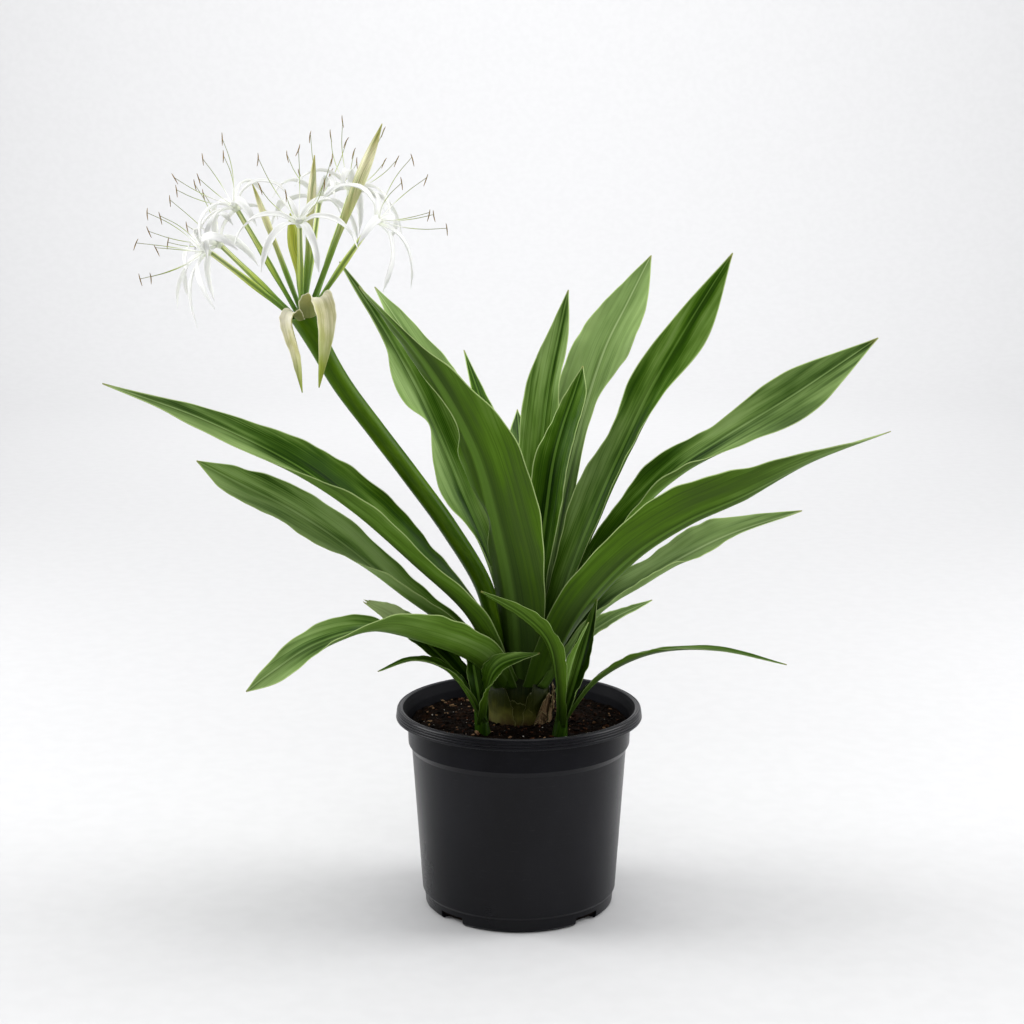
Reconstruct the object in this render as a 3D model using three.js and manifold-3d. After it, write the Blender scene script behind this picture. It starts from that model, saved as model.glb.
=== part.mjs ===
// A potted crinum lily in flower: millimetres, +Z up, origin at the centre of the pot's flat base.
// The front of the plant looks along -Y, and +X is to its right.
import * as THREE from "three";
import { mergeVertices } from "three/addons/utils/BufferGeometryUtils.js";
import Module from "manifold-3d";

const wasm = await Module();
wasm.setup();

// Driving dimensions of the pot
const GAP = 0.3;
const POT_SIDES = 32;
const POT_HEIGHT = 208;
const RIM_RADIUS = 125.5;
const RIM_HEIGHT = 11;
const MOUTH_RADIUS = 117;
const BAND_RADIUS = 114;
const BAND_BOTTOM = 168;
const WALL_TOP_RADIUS = 109.5;
const WALL_FOOT_RADIUS = 99.5;
const WALL_THICKNESS = 2;
const FOOT_RADIUS = 96.5;
const FOOT_HEIGHT = 14;
const BASE_THICKNESS = 2;
const BASE_HUB_RADIUS = 46;
const BASE_CHANNEL_RADIUS = 78;
const BASE_CHANNEL_DEPTH = 3;
const NOTCH_WIDTH = 32;
const NOTCH_DEPTH = 26;
const NOTCH_HEIGHT = 9;
const NOTCH_COUNT = 4;

// Driving dimensions of the soil and of the bulb in it
const SOIL_EDGE = 190;
const SOIL_MOUND = 5;
const SOIL_ROUGHNESS = 1.6;
const SOIL_RINGS = 3;
const BULB_RADIUS = 38;
const BULB_BOTTOM = 105;
const NECK_RADIUS = 29.5;
const NECK_TOP = 249;
const NECK_SIDES = 18;

// Driving dimensions of the leaves
const LEAF_STEPS = 13;
const LEAF_ACROSS = 4;
const SMALL_LEAF_STEPS = 6;
const SMALL_LEAF_ACROSS = 2;
const LEAF_EDGE_THICKNESS = 0.9;
const LEAF_RIB_THICKNESS = 2.2;

// Driving dimensions of the flower head
const SCAPE_SIDES = 10;
const RECEPTACLE_RADIUS = 14.5;
const TUBE_SIDES = 6;
const TUBE_RADII = [2.3, 2.3, 3.2, 2.6, 2.4];
const THROAT_RADIUS = 3.8;
const THROAT_LENGTH = 9;
const TEPAL_COUNT = 6;
const TEPAL_LENGTH = 74;
const TEPAL_WIDTH = 6.2;
const TEPAL_THICKNESS = 0.8;
const TEPAL_STEPS = 4;
const FILAMENT_LENGTH = 62;
const FILAMENT_RADIUS = 0.7;
const FILAMENT_STEPS = 3;
const ANTHER_LENGTH = 13;
const ANTHER_RADIUS = 1.1;
const TIP = 0.6;

// A repeatable draw between 0 and 1 for a whole number.
function draw(seed) {
  const x = Math.sin(seed * 12.9898) * 43758.5453;
  return x - Math.floor(x);
}

function radians(degrees) {
  return (degrees * Math.PI) / 180;
}

function vec(point) {
  return new THREE.Vector3(point[0], point[1], point[2]);
}

// The value at t from 0 to 1 of a smooth line through a list of numbers.
function along(values, t) {
  const place = t * (values.length - 1);
  const first = Math.min(Math.floor(place), values.length - 2);
  const x = place - first;
  const p1 = values[first];
  const p2 = values[first + 1];
  const p0 = first > 0 ? values[first - 1] : 2 * p1 - p2;
  const p3 = first + 2 < values.length ? values[first + 2] : 2 * p2 - p1;
  const bend = 2 * p0 - 5 * p1 + 4 * p2 - p3;
  return 0.5 * (2 * p1 + x * (p2 - p0 + x * (bend + x * (3 * (p1 - p2) + p3 - p0))));
}

// Solids

// A skin over rings of equal length, closed at both ends. A ring of a blade lists its upper face
// and then its lower face backwards, and both faces are split along the same diagonals.
function skin(rings, blade = false) {
  const count = rings[0].length;
  const half = count / 2;
  const positions = rings.flat().flatMap((p) => [p.x, p.y, p.z]);
  const faces = [];
  for (let i = 0; i + 1 < rings.length; i++) {
    for (let k = 0; k < count; k++) {
      const a = i * count + k;
      const b = i * count + ((k + 1) % count);
      const c = b + count;
      const d = a + count;
      if (blade && k >= half && k < count - 1) faces.push(a, b, d, b, c, d);
      else faces.push(a, b, c, a, c, d);
    }
  }
  const last = (rings.length - 1) * count;
  if (blade) {
    for (let k = 0; k + 1 < half; k++) {
      const under = count - 1 - k;
      faces.push(k, under, under - 1, k, under - 1, k + 1);
      faces.push(last + k, last + k + 1, last + under - 1);
      faces.push(last + k, last + under - 1, last + under);
    }
  } else {
    for (let k = 1; k + 1 < count; k++) {
      faces.push(0, k + 1, k);
      faces.push(last, last + k, last + k + 1);
    }
  }
  const geometry = new THREE.BufferGeometry();
  geometry.setAttribute("position", new THREE.Float32BufferAttribute(positions, 3));
  geometry.setIndex(faces);
  return geometry;
}

function solidOf(geometry) {
  const bare = geometry.clone();
  bare.deleteAttribute("normal");
  bare.deleteAttribute("uv");
  const merged = mergeVertices(bare, 1e-4);
  const vertProperties = new Float32Array(merged.attributes.position.array);
  const triVerts = new Uint32Array(merged.index.array);
  const solid = new wasm.Manifold(new wasm.Mesh({ numProp: 3, vertProperties, triVerts }));
  if (solid.volume() > 0) return solid;
  for (let i = 0; i < triVerts.length; i += 3) {
    [triVerts[i + 1], triVerts[i + 2]] = [triVerts[i + 2], triVerts[i + 1]];
  }
  return new wasm.Manifold(new wasm.Mesh({ numProp: 3, vertProperties, triVerts }));
}

// The largest body of a solid, which drops loose scraps that a cut leaves.
function largest(solid) {
  const bodies = solid.decompose();
  return bodies.reduce((best, body) => (body.volume() > best.volume() ? body : best));
}

function joined(solids) {
  return solids.reduce((all, next) => all.add(next));
}

function geometryOf(solid) {
  const mesh = solid.getMesh();
  const geometry = new THREE.BufferGeometry();
  geometry.setAttribute("position", new THREE.Float32BufferAttribute(mesh.vertProperties, 3));
  geometry.setIndex(Array.from(mesh.triVerts));
  return geometry;
}

function lathe(profile, sides) {
  const points = profile.map(([radius, height]) => new THREE.Vector2(radius, height));
  return new THREE.LatheGeometry(points, sides).rotateX(Math.PI / 2);
}

// Curves

function curveThrough(points) {
  return new THREE.CatmullRomCurve3(points.map(vec), false, "catmullrom", 0.5);
}

// A round tube along a curve, whose radius is a list of values from its start to its end.
function tubeSolid(curve, radii, steps, sides, grow = 0) {
  const rings = [];
  const start = curve.getTangent(0);
  const reference = Math.abs(start.z) > 0.7 ? new THREE.Vector3(0, 1, 0) : new THREE.Vector3(0, 0, 1);
  for (let i = 0; i <= steps; i++) {
    const t = i / steps;
    const centre = curve.getPoint(t);
    const tangent = curve.getTangent(t);
    const across = new THREE.Vector3().crossVectors(tangent, reference).normalize();
    const other = new THREE.Vector3().crossVectors(tangent, across);
    const radius = along(radii, t) + grow;
    const ring = [];
    for (let k = 0; k < sides; k++) {
      const angle = (2 * Math.PI * k) / sides;
      const point = centre.clone().addScaledVector(across, radius * Math.cos(angle));
      ring.push(point.addScaledVector(other, radius * Math.sin(angle)));
    }
    rings.push(ring);
  }
  return solidOf(skin(rings));
}

// The frame of a blade: a point of its rib, the way across it, and the way its upper face looks.
function bladeFrame(curve, heading, roll, t) {
  const point = curve.getPoint(t);
  const tangent = curve.getTangent(t);
  const level = new THREE.Vector3(-Math.sin(heading), Math.cos(heading), 0);
  const side = level.addScaledVector(tangent, -level.dot(tangent)).normalize();
  const up = new THREE.Vector3().crossVectors(tangent, side);
  const turn = radians(along(roll, t));
  const across = side.clone().multiplyScalar(Math.cos(turn)).addScaledVector(up, Math.sin(turn));
  const normal = up.clone().multiplyScalar(Math.cos(turn)).addScaledVector(side, -Math.sin(turn));
  return { point, across, normal };
}

// A channelled, rolled and wavy blade. The left half comes first in its widths, which run from the
// rib to each edge, in its folds, which are how far each half curls, and in its waves, which list
// the count, height and start of each edge's waves.
function leafSolid(leaf, steps, strips, grow = 0) {
  const curve = curveThrough(leaf.spine);
  const heading = radians(leaf.heading);
  const rings = [];
  for (let i = 0; i <= steps; i++) {
    const t = i / steps;
    const { point, across, normal } = bladeFrame(curve, heading, leaf.roll, t);
    const upper = [];
    const lower = [];
    for (let k = 0; k <= strips; k++) {
      const s = (2 * k) / strips - 1;
      const edge = s < 0 ? 0 : 1;
      const fold = radians(along(leaf.folds[edge], t));
      const [count, height, start] = leaf.waves[edge];
      const ripple = height * Math.sin(Math.PI * 2 * (count * t + start)) * Math.sin(Math.PI * t);
      const reach = Math.max(along(leaf.widths[edge], t), TIP) + grow;
      const x = (reach * Math.sin(fold * s)) / fold;
      const rise = (reach * (1 - Math.cos(fold * s))) / fold + ripple * s * s;
      const thin = LEAF_EDGE_THICKNESS / 2;
      const swell = (LEAF_RIB_THICKNESS / 2 - thin) * (1 - s * s) * (1 - t);
      const thick = thin + swell + grow;
      const centre = point.clone().addScaledVector(across, x).addScaledVector(normal, rise);
      const lean = normal.clone().multiplyScalar(Math.cos(fold * s));
      lean.addScaledVector(across, -Math.sin(fold * s));
      upper.push(centre.clone().addScaledVector(lean, thick));
      lower.push(centre.clone().addScaledVector(lean, -thick));
    }
    rings.push([...upper, ...lower.reverse()]);
  }
  return solidOf(skin(rings, true));
}

// Materials

function finish(color, roughness) {
  return new THREE.MeshStandardMaterial({ color, roughness, metalness: 0 });
}

const MATERIALS = {
  pot_plastic: finish(0x1d1e20, 0.5),
  potting_mix: finish(0x2a1a12, 1),
  neck_skin: finish(0x9fae74, 0.6),
  leaf_green: finish(0x2f6a16, 0.45),
  pup_green: finish(0x3f7a1f, 0.45),
  scape_green: finish(0x3f6f22, 0.5),
  bract_cream: finish(0xc9c39b, 0.8),
  tube_green: finish(0x8fae3a, 0.5),
  petal_white: finish(0xf7f7f2, 0.6),
};

const group = new THREE.Group();

function addPiece(name, solid, material) {
  const mesh = new THREE.Mesh(geometryOf(solid), MATERIALS[material].clone());
  mesh.name = name;
  group.add(mesh);
}

// Pot

function potOuterProfile() {
  return [
    [0, 0],
    [BASE_HUB_RADIUS, 0],
    [BASE_HUB_RADIUS + 2, BASE_CHANNEL_DEPTH],
    [BASE_CHANNEL_RADIUS - 2, BASE_CHANNEL_DEPTH],
    [BASE_CHANNEL_RADIUS, 0],
    [FOOT_RADIUS - 3, 0],
    [FOOT_RADIUS, 3],
    [FOOT_RADIUS + 0.8, FOOT_HEIGHT],
    [WALL_FOOT_RADIUS, FOOT_HEIGHT + 3],
    [WALL_TOP_RADIUS, BAND_BOTTOM - 3],
    [BAND_RADIUS - 1, BAND_BOTTOM + 3],
    [BAND_RADIUS, POT_HEIGHT - RIM_HEIGHT],
    [RIM_RADIUS, POT_HEIGHT - RIM_HEIGHT],
    [RIM_RADIUS + 0.3, POT_HEIGHT - 8],
    [RIM_RADIUS - 1.2, POT_HEIGHT - 6.4],
    [RIM_RADIUS - 0.3, POT_HEIGHT - 4.5],
    [RIM_RADIUS - 1.5, POT_HEIGHT - 0.8],
    [RIM_RADIUS - 4, POT_HEIGHT],
  ];
}

function potInnerProfile(inset = 0) {
  const inside = WALL_THICKNESS + inset;
  const floor = BASE_CHANNEL_DEPTH + BASE_THICKNESS + inset;
  return [
    [MOUTH_RADIUS + 1.5, POT_HEIGHT - 0.8],
    [MOUTH_RADIUS, POT_HEIGHT - 3],
    [BAND_RADIUS - inside, POT_HEIGHT - RIM_HEIGHT + 2],
    [BAND_RADIUS - 1 - inside, BAND_BOTTOM + 3],
    [WALL_TOP_RADIUS - inside, BAND_BOTTOM - 3],
    [WALL_FOOT_RADIUS - inside, FOOT_HEIGHT + 3],
    [FOOT_RADIUS - inside, floor],
    [0, floor],
  ];
}

function makePot() {
  let pot = solidOf(lathe([...potOuterProfile(), ...potInnerProfile()], POT_SIDES));
  for (let k = 0; k < NOTCH_COUNT; k++) {
    const notch = new THREE.BoxGeometry(NOTCH_DEPTH, NOTCH_WIDTH, 2 * NOTCH_HEIGHT);
    notch.translate(FOOT_RADIUS, 0, 0).rotateZ(Math.PI / 4 + (k * Math.PI * 2) / NOTCH_COUNT);
    pot = pot.subtract(solidOf(notch));
  }
  addPiece("pot", pot, "pot_plastic");
}

// Bulb and neck

function neckSolid(grow = 0) {
  const profile = [
    [0, BULB_BOTTOM - grow],
    [BULB_RADIUS * 0.55 + grow, BULB_BOTTOM + 3 - grow],
    [BULB_RADIUS * 0.9 + grow, BULB_BOTTOM + 18],
    [BULB_RADIUS + grow, BULB_BOTTOM + 38],
    [BULB_RADIUS * 0.93 + grow, BULB_BOTTOM + 60],
    [NECK_RADIUS + 1.5 + grow, SOIL_EDGE - 2],
    [NECK_RADIUS + grow, SOIL_EDGE + 15],
    [NECK_RADIUS + 0.5 + grow, NECK_TOP - 22],
    [NECK_RADIUS - 2 + grow, NECK_TOP - 8],
    [NECK_RADIUS - 12 + grow, NECK_TOP - 1 + grow],
    [0, NECK_TOP + grow],
  ];
  return solidOf(lathe(profile, NECK_SIDES));
}

// Main leaves, from the outside of the neck to its middle: rib points and widths in millimetres,
// heading in degrees from +X, and folds and roll in degrees from base to tip.

const LEAVES = [
  {
    name: "leaf_left_low",
    heading: 208,
    spine: [[-22, -16, 228], [-46, -46, 266], [-92, -72, 292], [-144, -98, 310], [-194, -126, 303],
      [-234, -146, 281], [-257, -156, 265]],
    widths: [[26, 22, 22, 28, 20, 9, TIP], [28, 33, 37, 28, 22, 14, TIP]],
    folds: [[70, 60, 40, 20, 10, 10], [75, 80, 85, 75, 30, 10]],
    roll: [10, 18, 12, -18, -45, -60],
    waves: [[2, 3, 0.2], [2, 3, 0.6]],
  },
  {
    name: "leaf_right_short",
    heading: 30,
    spine: [[25, 8, 226], [50, 24, 258], [94, 48, 284], [140, 76, 300]],
    widths: [[24, 14, 13, 10, TIP], [24, 14, 13, 10, TIP]],
    folds: [[70, 50, 30], [70, 40, 20]],
    roll: [0, 10, 20],
    waves: [[1.5, 1, 0], [1.5, 1, 0.5]],
  },
  {
    name: "leaf_left_mid",
    heading: 190,
    spine: [[-24, -8, 226], [-60, -22, 284], [-116, -36, 332], [-170, -48, 382], [-222, -60, 421],
      [-275, -66, 450], [-311, -70, 471]],
    widths: [[28, 27, 33, 31, 28, 17, TIP], [28, 25, 28, 27, 24, 19, TIP]],
    folds: [[70, 50, 30, 20, 15, 10], [70, 85, 60, 25, 20, 10]],
    roll: [0, -5, -20, -38, -48, -52],
    waves: [[2.5, 2, 0.1], [2.5, 3, 0.4]],
  },
  {
    name: "leaf_right_low",
    heading: 12,
    spine: [[26, -2, 226], [78, 8, 300], [129, 22, 333], [175, 34, 358], [223, 48, 378], [293, 62, 398]],
    widths: [[28, 22, 22, 15, 7, TIP], [28, 24, 28, 27, 21, TIP]],
    folds: [[70, 75, 60, 40, 20], [70, 40, 25, 20, 15]],
    roll: [0, 5, 15, 25, 35, 40],
    waves: [[2.5, 4, 0.1], [2.5, 4, 0.5]],
  },
  {
    name: "leaf_right_front",
    heading: 342,
    spine: [[22, -12, 230], [58, -42, 312], [106, -62, 372], [159, -78, 412], [213, -92, 440],
      [276, -108, 476], [347, -122, 507]],
    widths: [[26, 28, 31, 37, 31, 18, TIP], [26, 24, 24, 24, 20, 10, TIP]],
    folds: [[65, 45, 45, 55, 60, 25], [70, 80, 90, 90, 50, 20]],
    roll: [0, -40, -52, -50, -40, -15, 10],
    waves: [[2, 2, 0.1], [2, 5, 0.45]],
  },
  {
    name: "leaf_left_high",
    heading: 192,
    spine: [[-20, -14, 232], [-50, -36, 308], [-104, -50, 369], [-164, -62, 427], [-222, -78, 472],
      [-304, -98, 517], [-390, -114, 551]],
    widths: [[26, 28, 36, 37, 29, 13, TIP], [26, 32, 40, 42, 28, 13, TIP]],
    folds: [[70, 50, 40, 20, 15, 10], [70, 80, 105, 90, 30, 10]],
    roll: [0, -10, -24, -32, -46, -52, -50],
    waves: [[2, 3, 0.3], [2, 3, 0]],
  },
  {
    name: "leaf_right_high",
    heading: 10,
    spine: [[22, -4, 236], [65, 6, 330], [106, 16, 392], [155, 30, 442], [210, 42, 478], [284, 54, 522],
      [366, 62, 577]],
    widths: [[22, 24, 28, 35, 24, 29, TIP], [22, 25, 21, 28, 18, 25, TIP]],
    folds: [[70, 70, 90, 70, 25, 15], [70, 50, 40, 25, 15, 10]],
    roll: [0, 5, 15, 30, 48, 55, 55],
    waves: [[2, 4, 0.2], [2, 4, 0.6]],
  },
  {
    name: "leaf_front_broad",
    heading: 235,
    spine: [[-2, -21, 236], [-9, -42, 330], [-24, -60, 410], [-41, -80, 477], [-68, -104, 537],
      [-102, -130, 591], [-146, -152, 644]],
    widths: [[24, 27, 32, 33, 17, 13, TIP], [24, 35, 47, 47, 29, 10, TIP]],
    folds: [[65, 60, 55, 35, 25, 20], [65, 45, 30, 30, 25, 20]],
    roll: [0, 0, 0, 0, 0],
    waves: [[2, 3, 0.5], [2, 2, 0]],
  },
  {
    name: "leaf_right_steep",
    heading: 18,
    spine: [[20, 2, 240], [50, 12, 336], [80, 24, 412], [108, 36, 474], [135, 48, 528], [172, 64, 590],
      [218, 80, 662]],
    widths: [[18, 20, 24, 24, 19, 25, TIP], [18, 22, 28, 19, 25, 16, TIP]],
    folds: [[65, 70, 90, 70, 25, 15], [65, 50, 40, 25, 15, 10]],
    roll: [0, 25, 35, 50, 65, 65],
    waves: [[2, 3, 0.1], [2, 4, 0.4]],
  },
  {
    name: "leaf_back_right",
    heading: 55,
    spine: [[16, 10, 240], [33, 42, 340], [50, 80, 425], [72, 116, 503], [92, 140, 559], [116, 160, 605],
      [142, 182, 654]],
    widths: [[16, 16, 19, 13, 31, 24, TIP], [16, 20, 28, 35, 34, 22, TIP]],
    folds: [[65, 50, 40, 20, 15], [65, 40, 20, 15]],
    roll: [0, 5, 10, 15],
    waves: [[2.5, 4, 0.3], [2, 3, 0]],
  },
  {
    name: "leaf_left_back",
    heading: 140,
    spine: [[-2, 16, 240], [-14, 50, 345], [-44, 88, 437], [-84, 112, 518], [-115, 130, 568],
      [-152, 145, 623]],
    widths: [[18, 20, 26, 30, 24, TIP], [18, 22, 28, 30, 23, TIP]],
    folds: [[65, 40, 25, 20], [65, 40, 25, 20]],
    roll: [0, 0, 0],
    waves: [[2, 3, 0], [2, 3, 0.5]],
  },
  {
    name: "leaf_back_low",
    heading: 92,
    spine: [[7, 20, 238], [6, 92, 345], [3, 200, 422], [-1, 318, 470]],
    widths: [[18, 20, 25, 24, 14, TIP], [18, 20, 25, 24, 14, TIP]],
    folds: [[65, 40, 25, 20], [65, 40, 25, 20]],
    roll: [0, 0, 0],
    waves: [[2, 4, 0], [2, 4, 0.5]],
  },
  {
    name: "leaf_left_steep",
    heading: 178,
    spine: [[2, 7, 242], [-31, 18, 358], [-58, 20, 426], [-86, 23, 494], [-111, 26, 546], [-142, 28, 600],
      [-179, 30, 656]],
    widths: [[15, 16, 17, 21, 9, 5, TIP], [15, 20, 32, 17, 24, 5, TIP]],
    folds: [[60, 50, 45, 60, 60, 30], [60, 50, 30, 20]],
    roll: [-20, -50, -62, -66],
    waves: [[2, 4, 0.2], [2, 5, 0.1]],
  },
  {
    name: "leaf_back_narrow",
    heading: 112,
    spine: [[4, 12, 242], [-6, 74, 355], [-28, 152, 458], [-60, 226, 548]],
    widths: [[14, 15, 19, 18, 10, TIP], [14, 15, 19, 18, 10, TIP]],
    folds: [[60, 40, 25, 20], [60, 40, 25, 20]],
    roll: [0, 0, 0],
    waves: [[2, 2, 0], [2, 2, 0.5]],
  },
  {
    name: "leaf_back_upright",
    heading: 75,
    spine: [[9, 11, 242], [13, 34, 342], [19, 56, 410], [24, 78, 470], [31, 98, 524], [42, 116, 575],
      [52, 130, 621]],
    widths: [[13, 16, 20, 20, 13, 11, TIP], [13, 18, 21, 24, 24, 12, TIP]],
    folds: [[60, 40, 25, 20], [60, 40, 25, 20]],
    roll: [0, 0, 0],
    waves: [[2, 2, 0], [2, 2, 0.5]],
  },
  {
    name: "leaf_centre",
    heading: 68,
    spine: [[11, 0, 243], [20, 8, 345], [28, 16, 407], [35, 26, 455], [45, 36, 491], [56, 46, 522],
      [65, 56, 549]],
    widths: [[11, 15, 19, 19, 19, 15, TIP], [11, 15, 18, 20, 14, 8, TIP]],
    folds: [[60, 45, 30, 20], [60, 45, 30, 20]],
    roll: [0, 0, 0],
    waves: [[2, 1, 0], [2, 2, 0.5]],
  },
];

// Offset shoots: each has a short stem that stands in the soil and a few small leaves on it.

const PUP_OUTLINE = [0.3, 0.42, 0.5, 0.42, 0.25, 0.03];
const PUP_LEAF = {
  folds: [[60, 40, 25], [60, 40, 25]],
  waves: [[1, 1.5, 0], [1, 1.5, 0.5]],
};

const PUPS = [
  {
    name: "pup_left",
    stem: [[-34, -50, 160], [-36, -50, 190], [-40, -48, 220]],
    leaves: [
      {
        heading: 205,
        width: 20,
        roll: [0, -15, -20],
        spine: [[-36, -50, 204], [-55, -57, 243], [-78, -66, 266], [-105, -80, 276], [-137, -98, 269]],
      },
      {
        heading: 172,
        width: 34,
        outline: [0.3, 0.42, 0.5, 0.46, 0.36, 0.1],
        roll: [0, -20, -35, -35],
        spine: [[-37, -48, 204], [-61, -46, 250], [-91, -43, 282], [-124, -40, 309], [-155, -38, 326]],
      },
      {
        heading: 125,
        width: 24,
        roll: [0, 0, 0],
        spine: [[-37, -49, 204], [-43, -43, 243], [-48, -37, 273], [-52, -31, 298]],
      },
      {
        heading: 340,
        width: 32,
        roll: [0, 45, 20],
        spine: [[-35, -50, 204], [-30, -60, 244], [-17, -68, 268], [20, -78, 282]],
      },
    ],
  },
  {
    name: "pup_right",
    stem: [[38, -60, 160], [40, -59, 190], [43, -57, 220]],
    leaves: [
      {
        heading: 195,
        width: 30,
        roll: [0, 25, 50],
        spine: [[40, -60, 204], [37, -69, 255], [28, -78, 295], [2, -88, 324], [-37, -96, 348]],
      },
      {
        heading: 330,
        width: 22,
        roll: [0, 0, 0],
        spine: [[42, -59, 204], [47, -60, 248], [55, -62, 279], [68, -65, 310]],
      },
      {
        heading: 40,
        width: 28,
        roll: [0, 10, 0],
        spine: [[43, -57, 204], [56, -50, 247], [67, -45, 285], [77, -42, 328]],
      },
      {
        heading: 8,
        width: 22,
        roll: [0, -15, 20],
        spine: [[43, -56, 204], [78, -52, 248], [132, -47, 274], [198, -42, 276], [267, -38, 260]],
      },
    ],
  },
];

function pupSolid(pup, grow = 0) {
  const stem = tubeSolid(curveThrough(pup.stem), [9, 8, 5], 3, 8, grow);
  const leaves = pup.leaves.map((leaf) => {
    const half = (leaf.outline ?? PUP_OUTLINE).map((share) => share * leaf.width);
    const whole = { ...PUP_LEAF, ...leaf, widths: [half, half] };
    return leafSolid(whole, SMALL_LEAF_STEPS, SMALL_LEAF_ACROSS, grow);
  });
  return joined([stem, ...leaves]);
}

// Soil

// Fills the pot to its edge height, mounded and rough on top, with a hole for each stem in it.
function makeSoil(stems) {
  const inside = potInnerProfile(GAP).slice(3).reverse();
  const edge = BAND_RADIUS - 1 - WALL_THICKNESS - GAP;
  const profile = [...inside, [edge, SOIL_EDGE]];
  for (let k = SOIL_RINGS - 1; k >= 0; k--) {
    const share = k / SOIL_RINGS;
    profile.push([edge * share, SOIL_EDGE + SOIL_MOUND * (1 - share * share)]);
  }
  const geometry = lathe(profile, POT_SIDES);
  const spots = geometry.attributes.position;
  for (let i = 0; i < spots.count; i++) {
    const x = spots.getX(i);
    const y = spots.getY(i);
    if (spots.getZ(i) < SOIL_EDGE - 1 || Math.hypot(x, y) > edge - 1) continue;
    const lump = Math.sin(x * 0.21 + 1) * Math.cos(y * 0.17) + Math.sin(x * 0.07 - y * 0.11);
    spots.setZ(i, spots.getZ(i) + SOIL_ROUGHNESS * lump);
  }
  let soil = solidOf(geometry);
  for (const stem of stems) soil = soil.subtract(stem);
  addPiece("soil", largest(soil), "potting_mix");
}

// Flower stalk

const SCAPE_SPINE = [[-13, 2, 236], [-21, 0, 276], [-36, -4, 334], [-69, -18, 394], [-105, -32, 448],
  [-139, -42, 496], [-171, -51, 542], [-193, -57, 583], [-206, -60, 612]];
const SCAPE_RADII = [10, 9.4, 9, 9, 9, 9, 9.4, 10.4, RECEPTACLE_RADIUS];
const SCAPE_STEPS = 12;

function scapeSolid(grow = 0) {
  return tubeSolid(curveThrough(SCAPE_SPINE), SCAPE_RADII, SCAPE_STEPS, SCAPE_SIDES, grow);
}

// Withered bracts that arch over and hang from the top of the stalk

const BRACT_STEPS = 9;
const BRACT = {
  folds: [[40, 50, 30], [40, 50, 30]],
  roll: [0, 0, 0],
  waves: [[1.5, 1, 0], [1.5, 1, 0.5]],
};

const BRACTS = [
  {
    name: "bract_right",
    heading: 300,
    widths: [[8, 11, 13, 12, 8.5, TIP], [8, 11, 13, 12, 8.5, TIP]],
    spine: [[-199, -74, 609], [-197, -81, 623], [-188, -88, 627], [-183, -90, 600], [-190, -88, 544]],
  },
  {
    name: "bract_left",
    heading: 225,
    widths: [[8, 10, 11, 10, 6, TIP], [8, 10, 11, 10, 6, TIP]],
    spine: [[-210, -71, 606], [-215, -76, 614], [-218, -80, 604], [-211, -80, 574], [-207, -78, 538]],
  },
];

// Umbel: each flower has a seat on the top of the stalk, as an angle in degrees and a distance
// from the middle in millimetres, a throat or tip, the way that it looks there, and how far its
// tepals are turned round it in degrees.

const BLOOMS = [
  { seat: [212, 11], throat: [-288, -94, 671], facing: [-0.95, -0.3, 0.15], turn: 30 },
  { seat: [155, 11], throat: [-287, -24, 673], facing: [-0.75, 0.3, 0.55], turn: 58 },
  { seat: [188, 5.4], throat: [-266, -64, 709], facing: [-0.6, -0.25, 0.75], turn: 6 },
  { seat: [262, 11], throat: [-202, -121, 696], facing: [-0.05, -0.5, 0.85], turn: 0 },
  { seat: [95, 11], throat: [-196, 6, 713], facing: [0.0, 0.55, 0.85], turn: 48 },
  { seat: [345, 11], throat: [-138, -82, 698], facing: [0.85, -0.2, 0.45], turn: 0 },
  { seat: [35, 11], throat: [-165, -10, 721], facing: [0.3, 0.35, 0.9], turn: 3 },
];

const BUDS = [
  { seat: [120, 5.4], tip: [-255, -40, 734], radius: 4 },
  { seat: [0, 0], tip: [-193, -62, 761], radius: 5 },
  { seat: [15, 5.4], tip: [-129, -62, 790], radius: 7 },
  { seat: [275, 5.4], tip: [-213, -98, 708], radius: 7 },
];

const RECEPTACLE = (() => {
  const curve = curveThrough(SCAPE_SPINE);
  const axis = curve.getTangent(1);
  const across = new THREE.Vector3(1, 0, 0).addScaledVector(axis, -axis.x).normalize();
  return { centre: curve.getPoint(1), axis, across, away: new THREE.Vector3().crossVectors(axis, across) };
})();

function footOf([angle, distance]) {
  const foot = RECEPTACLE.centre.clone().addScaledVector(RECEPTACLE.axis, GAP);
  foot.addScaledVector(RECEPTACLE.across, distance * Math.cos(radians(angle)));
  return foot.addScaledVector(RECEPTACLE.away, distance * Math.sin(radians(angle)));
}

// A flower's tube rises from its seat and bends a little towards the way the flower looks.
function tubeCurve(seat, target, facing) {
  const foot = footOf(seat);
  const end = vec(target);
  const middle = foot.clone().lerp(end, 0.5).addScaledVector(facing, foot.distanceTo(end) * -0.03);
  return new THREE.QuadraticBezierCurve3(foot, middle, end);
}

// The points of a tepal or a filament, which opens from the flower's axis and then droops.
function bentPath(start, axis, radial, length, opening, closing, droop, steps) {
  const points = [start.clone()];
  for (let i = 0; i < steps; i++) {
    const t = (i + 0.5) / steps;
    const angle = radians(opening + (closing - opening) * Math.pow(t, 0.8));
    const way = axis.clone().multiplyScalar(Math.cos(angle)).addScaledVector(radial, Math.sin(angle));
    way.z -= droop * t * t;
    points.push(points[i].clone().addScaledVector(way.normalize(), length / steps));
  }
  return points;
}

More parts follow.
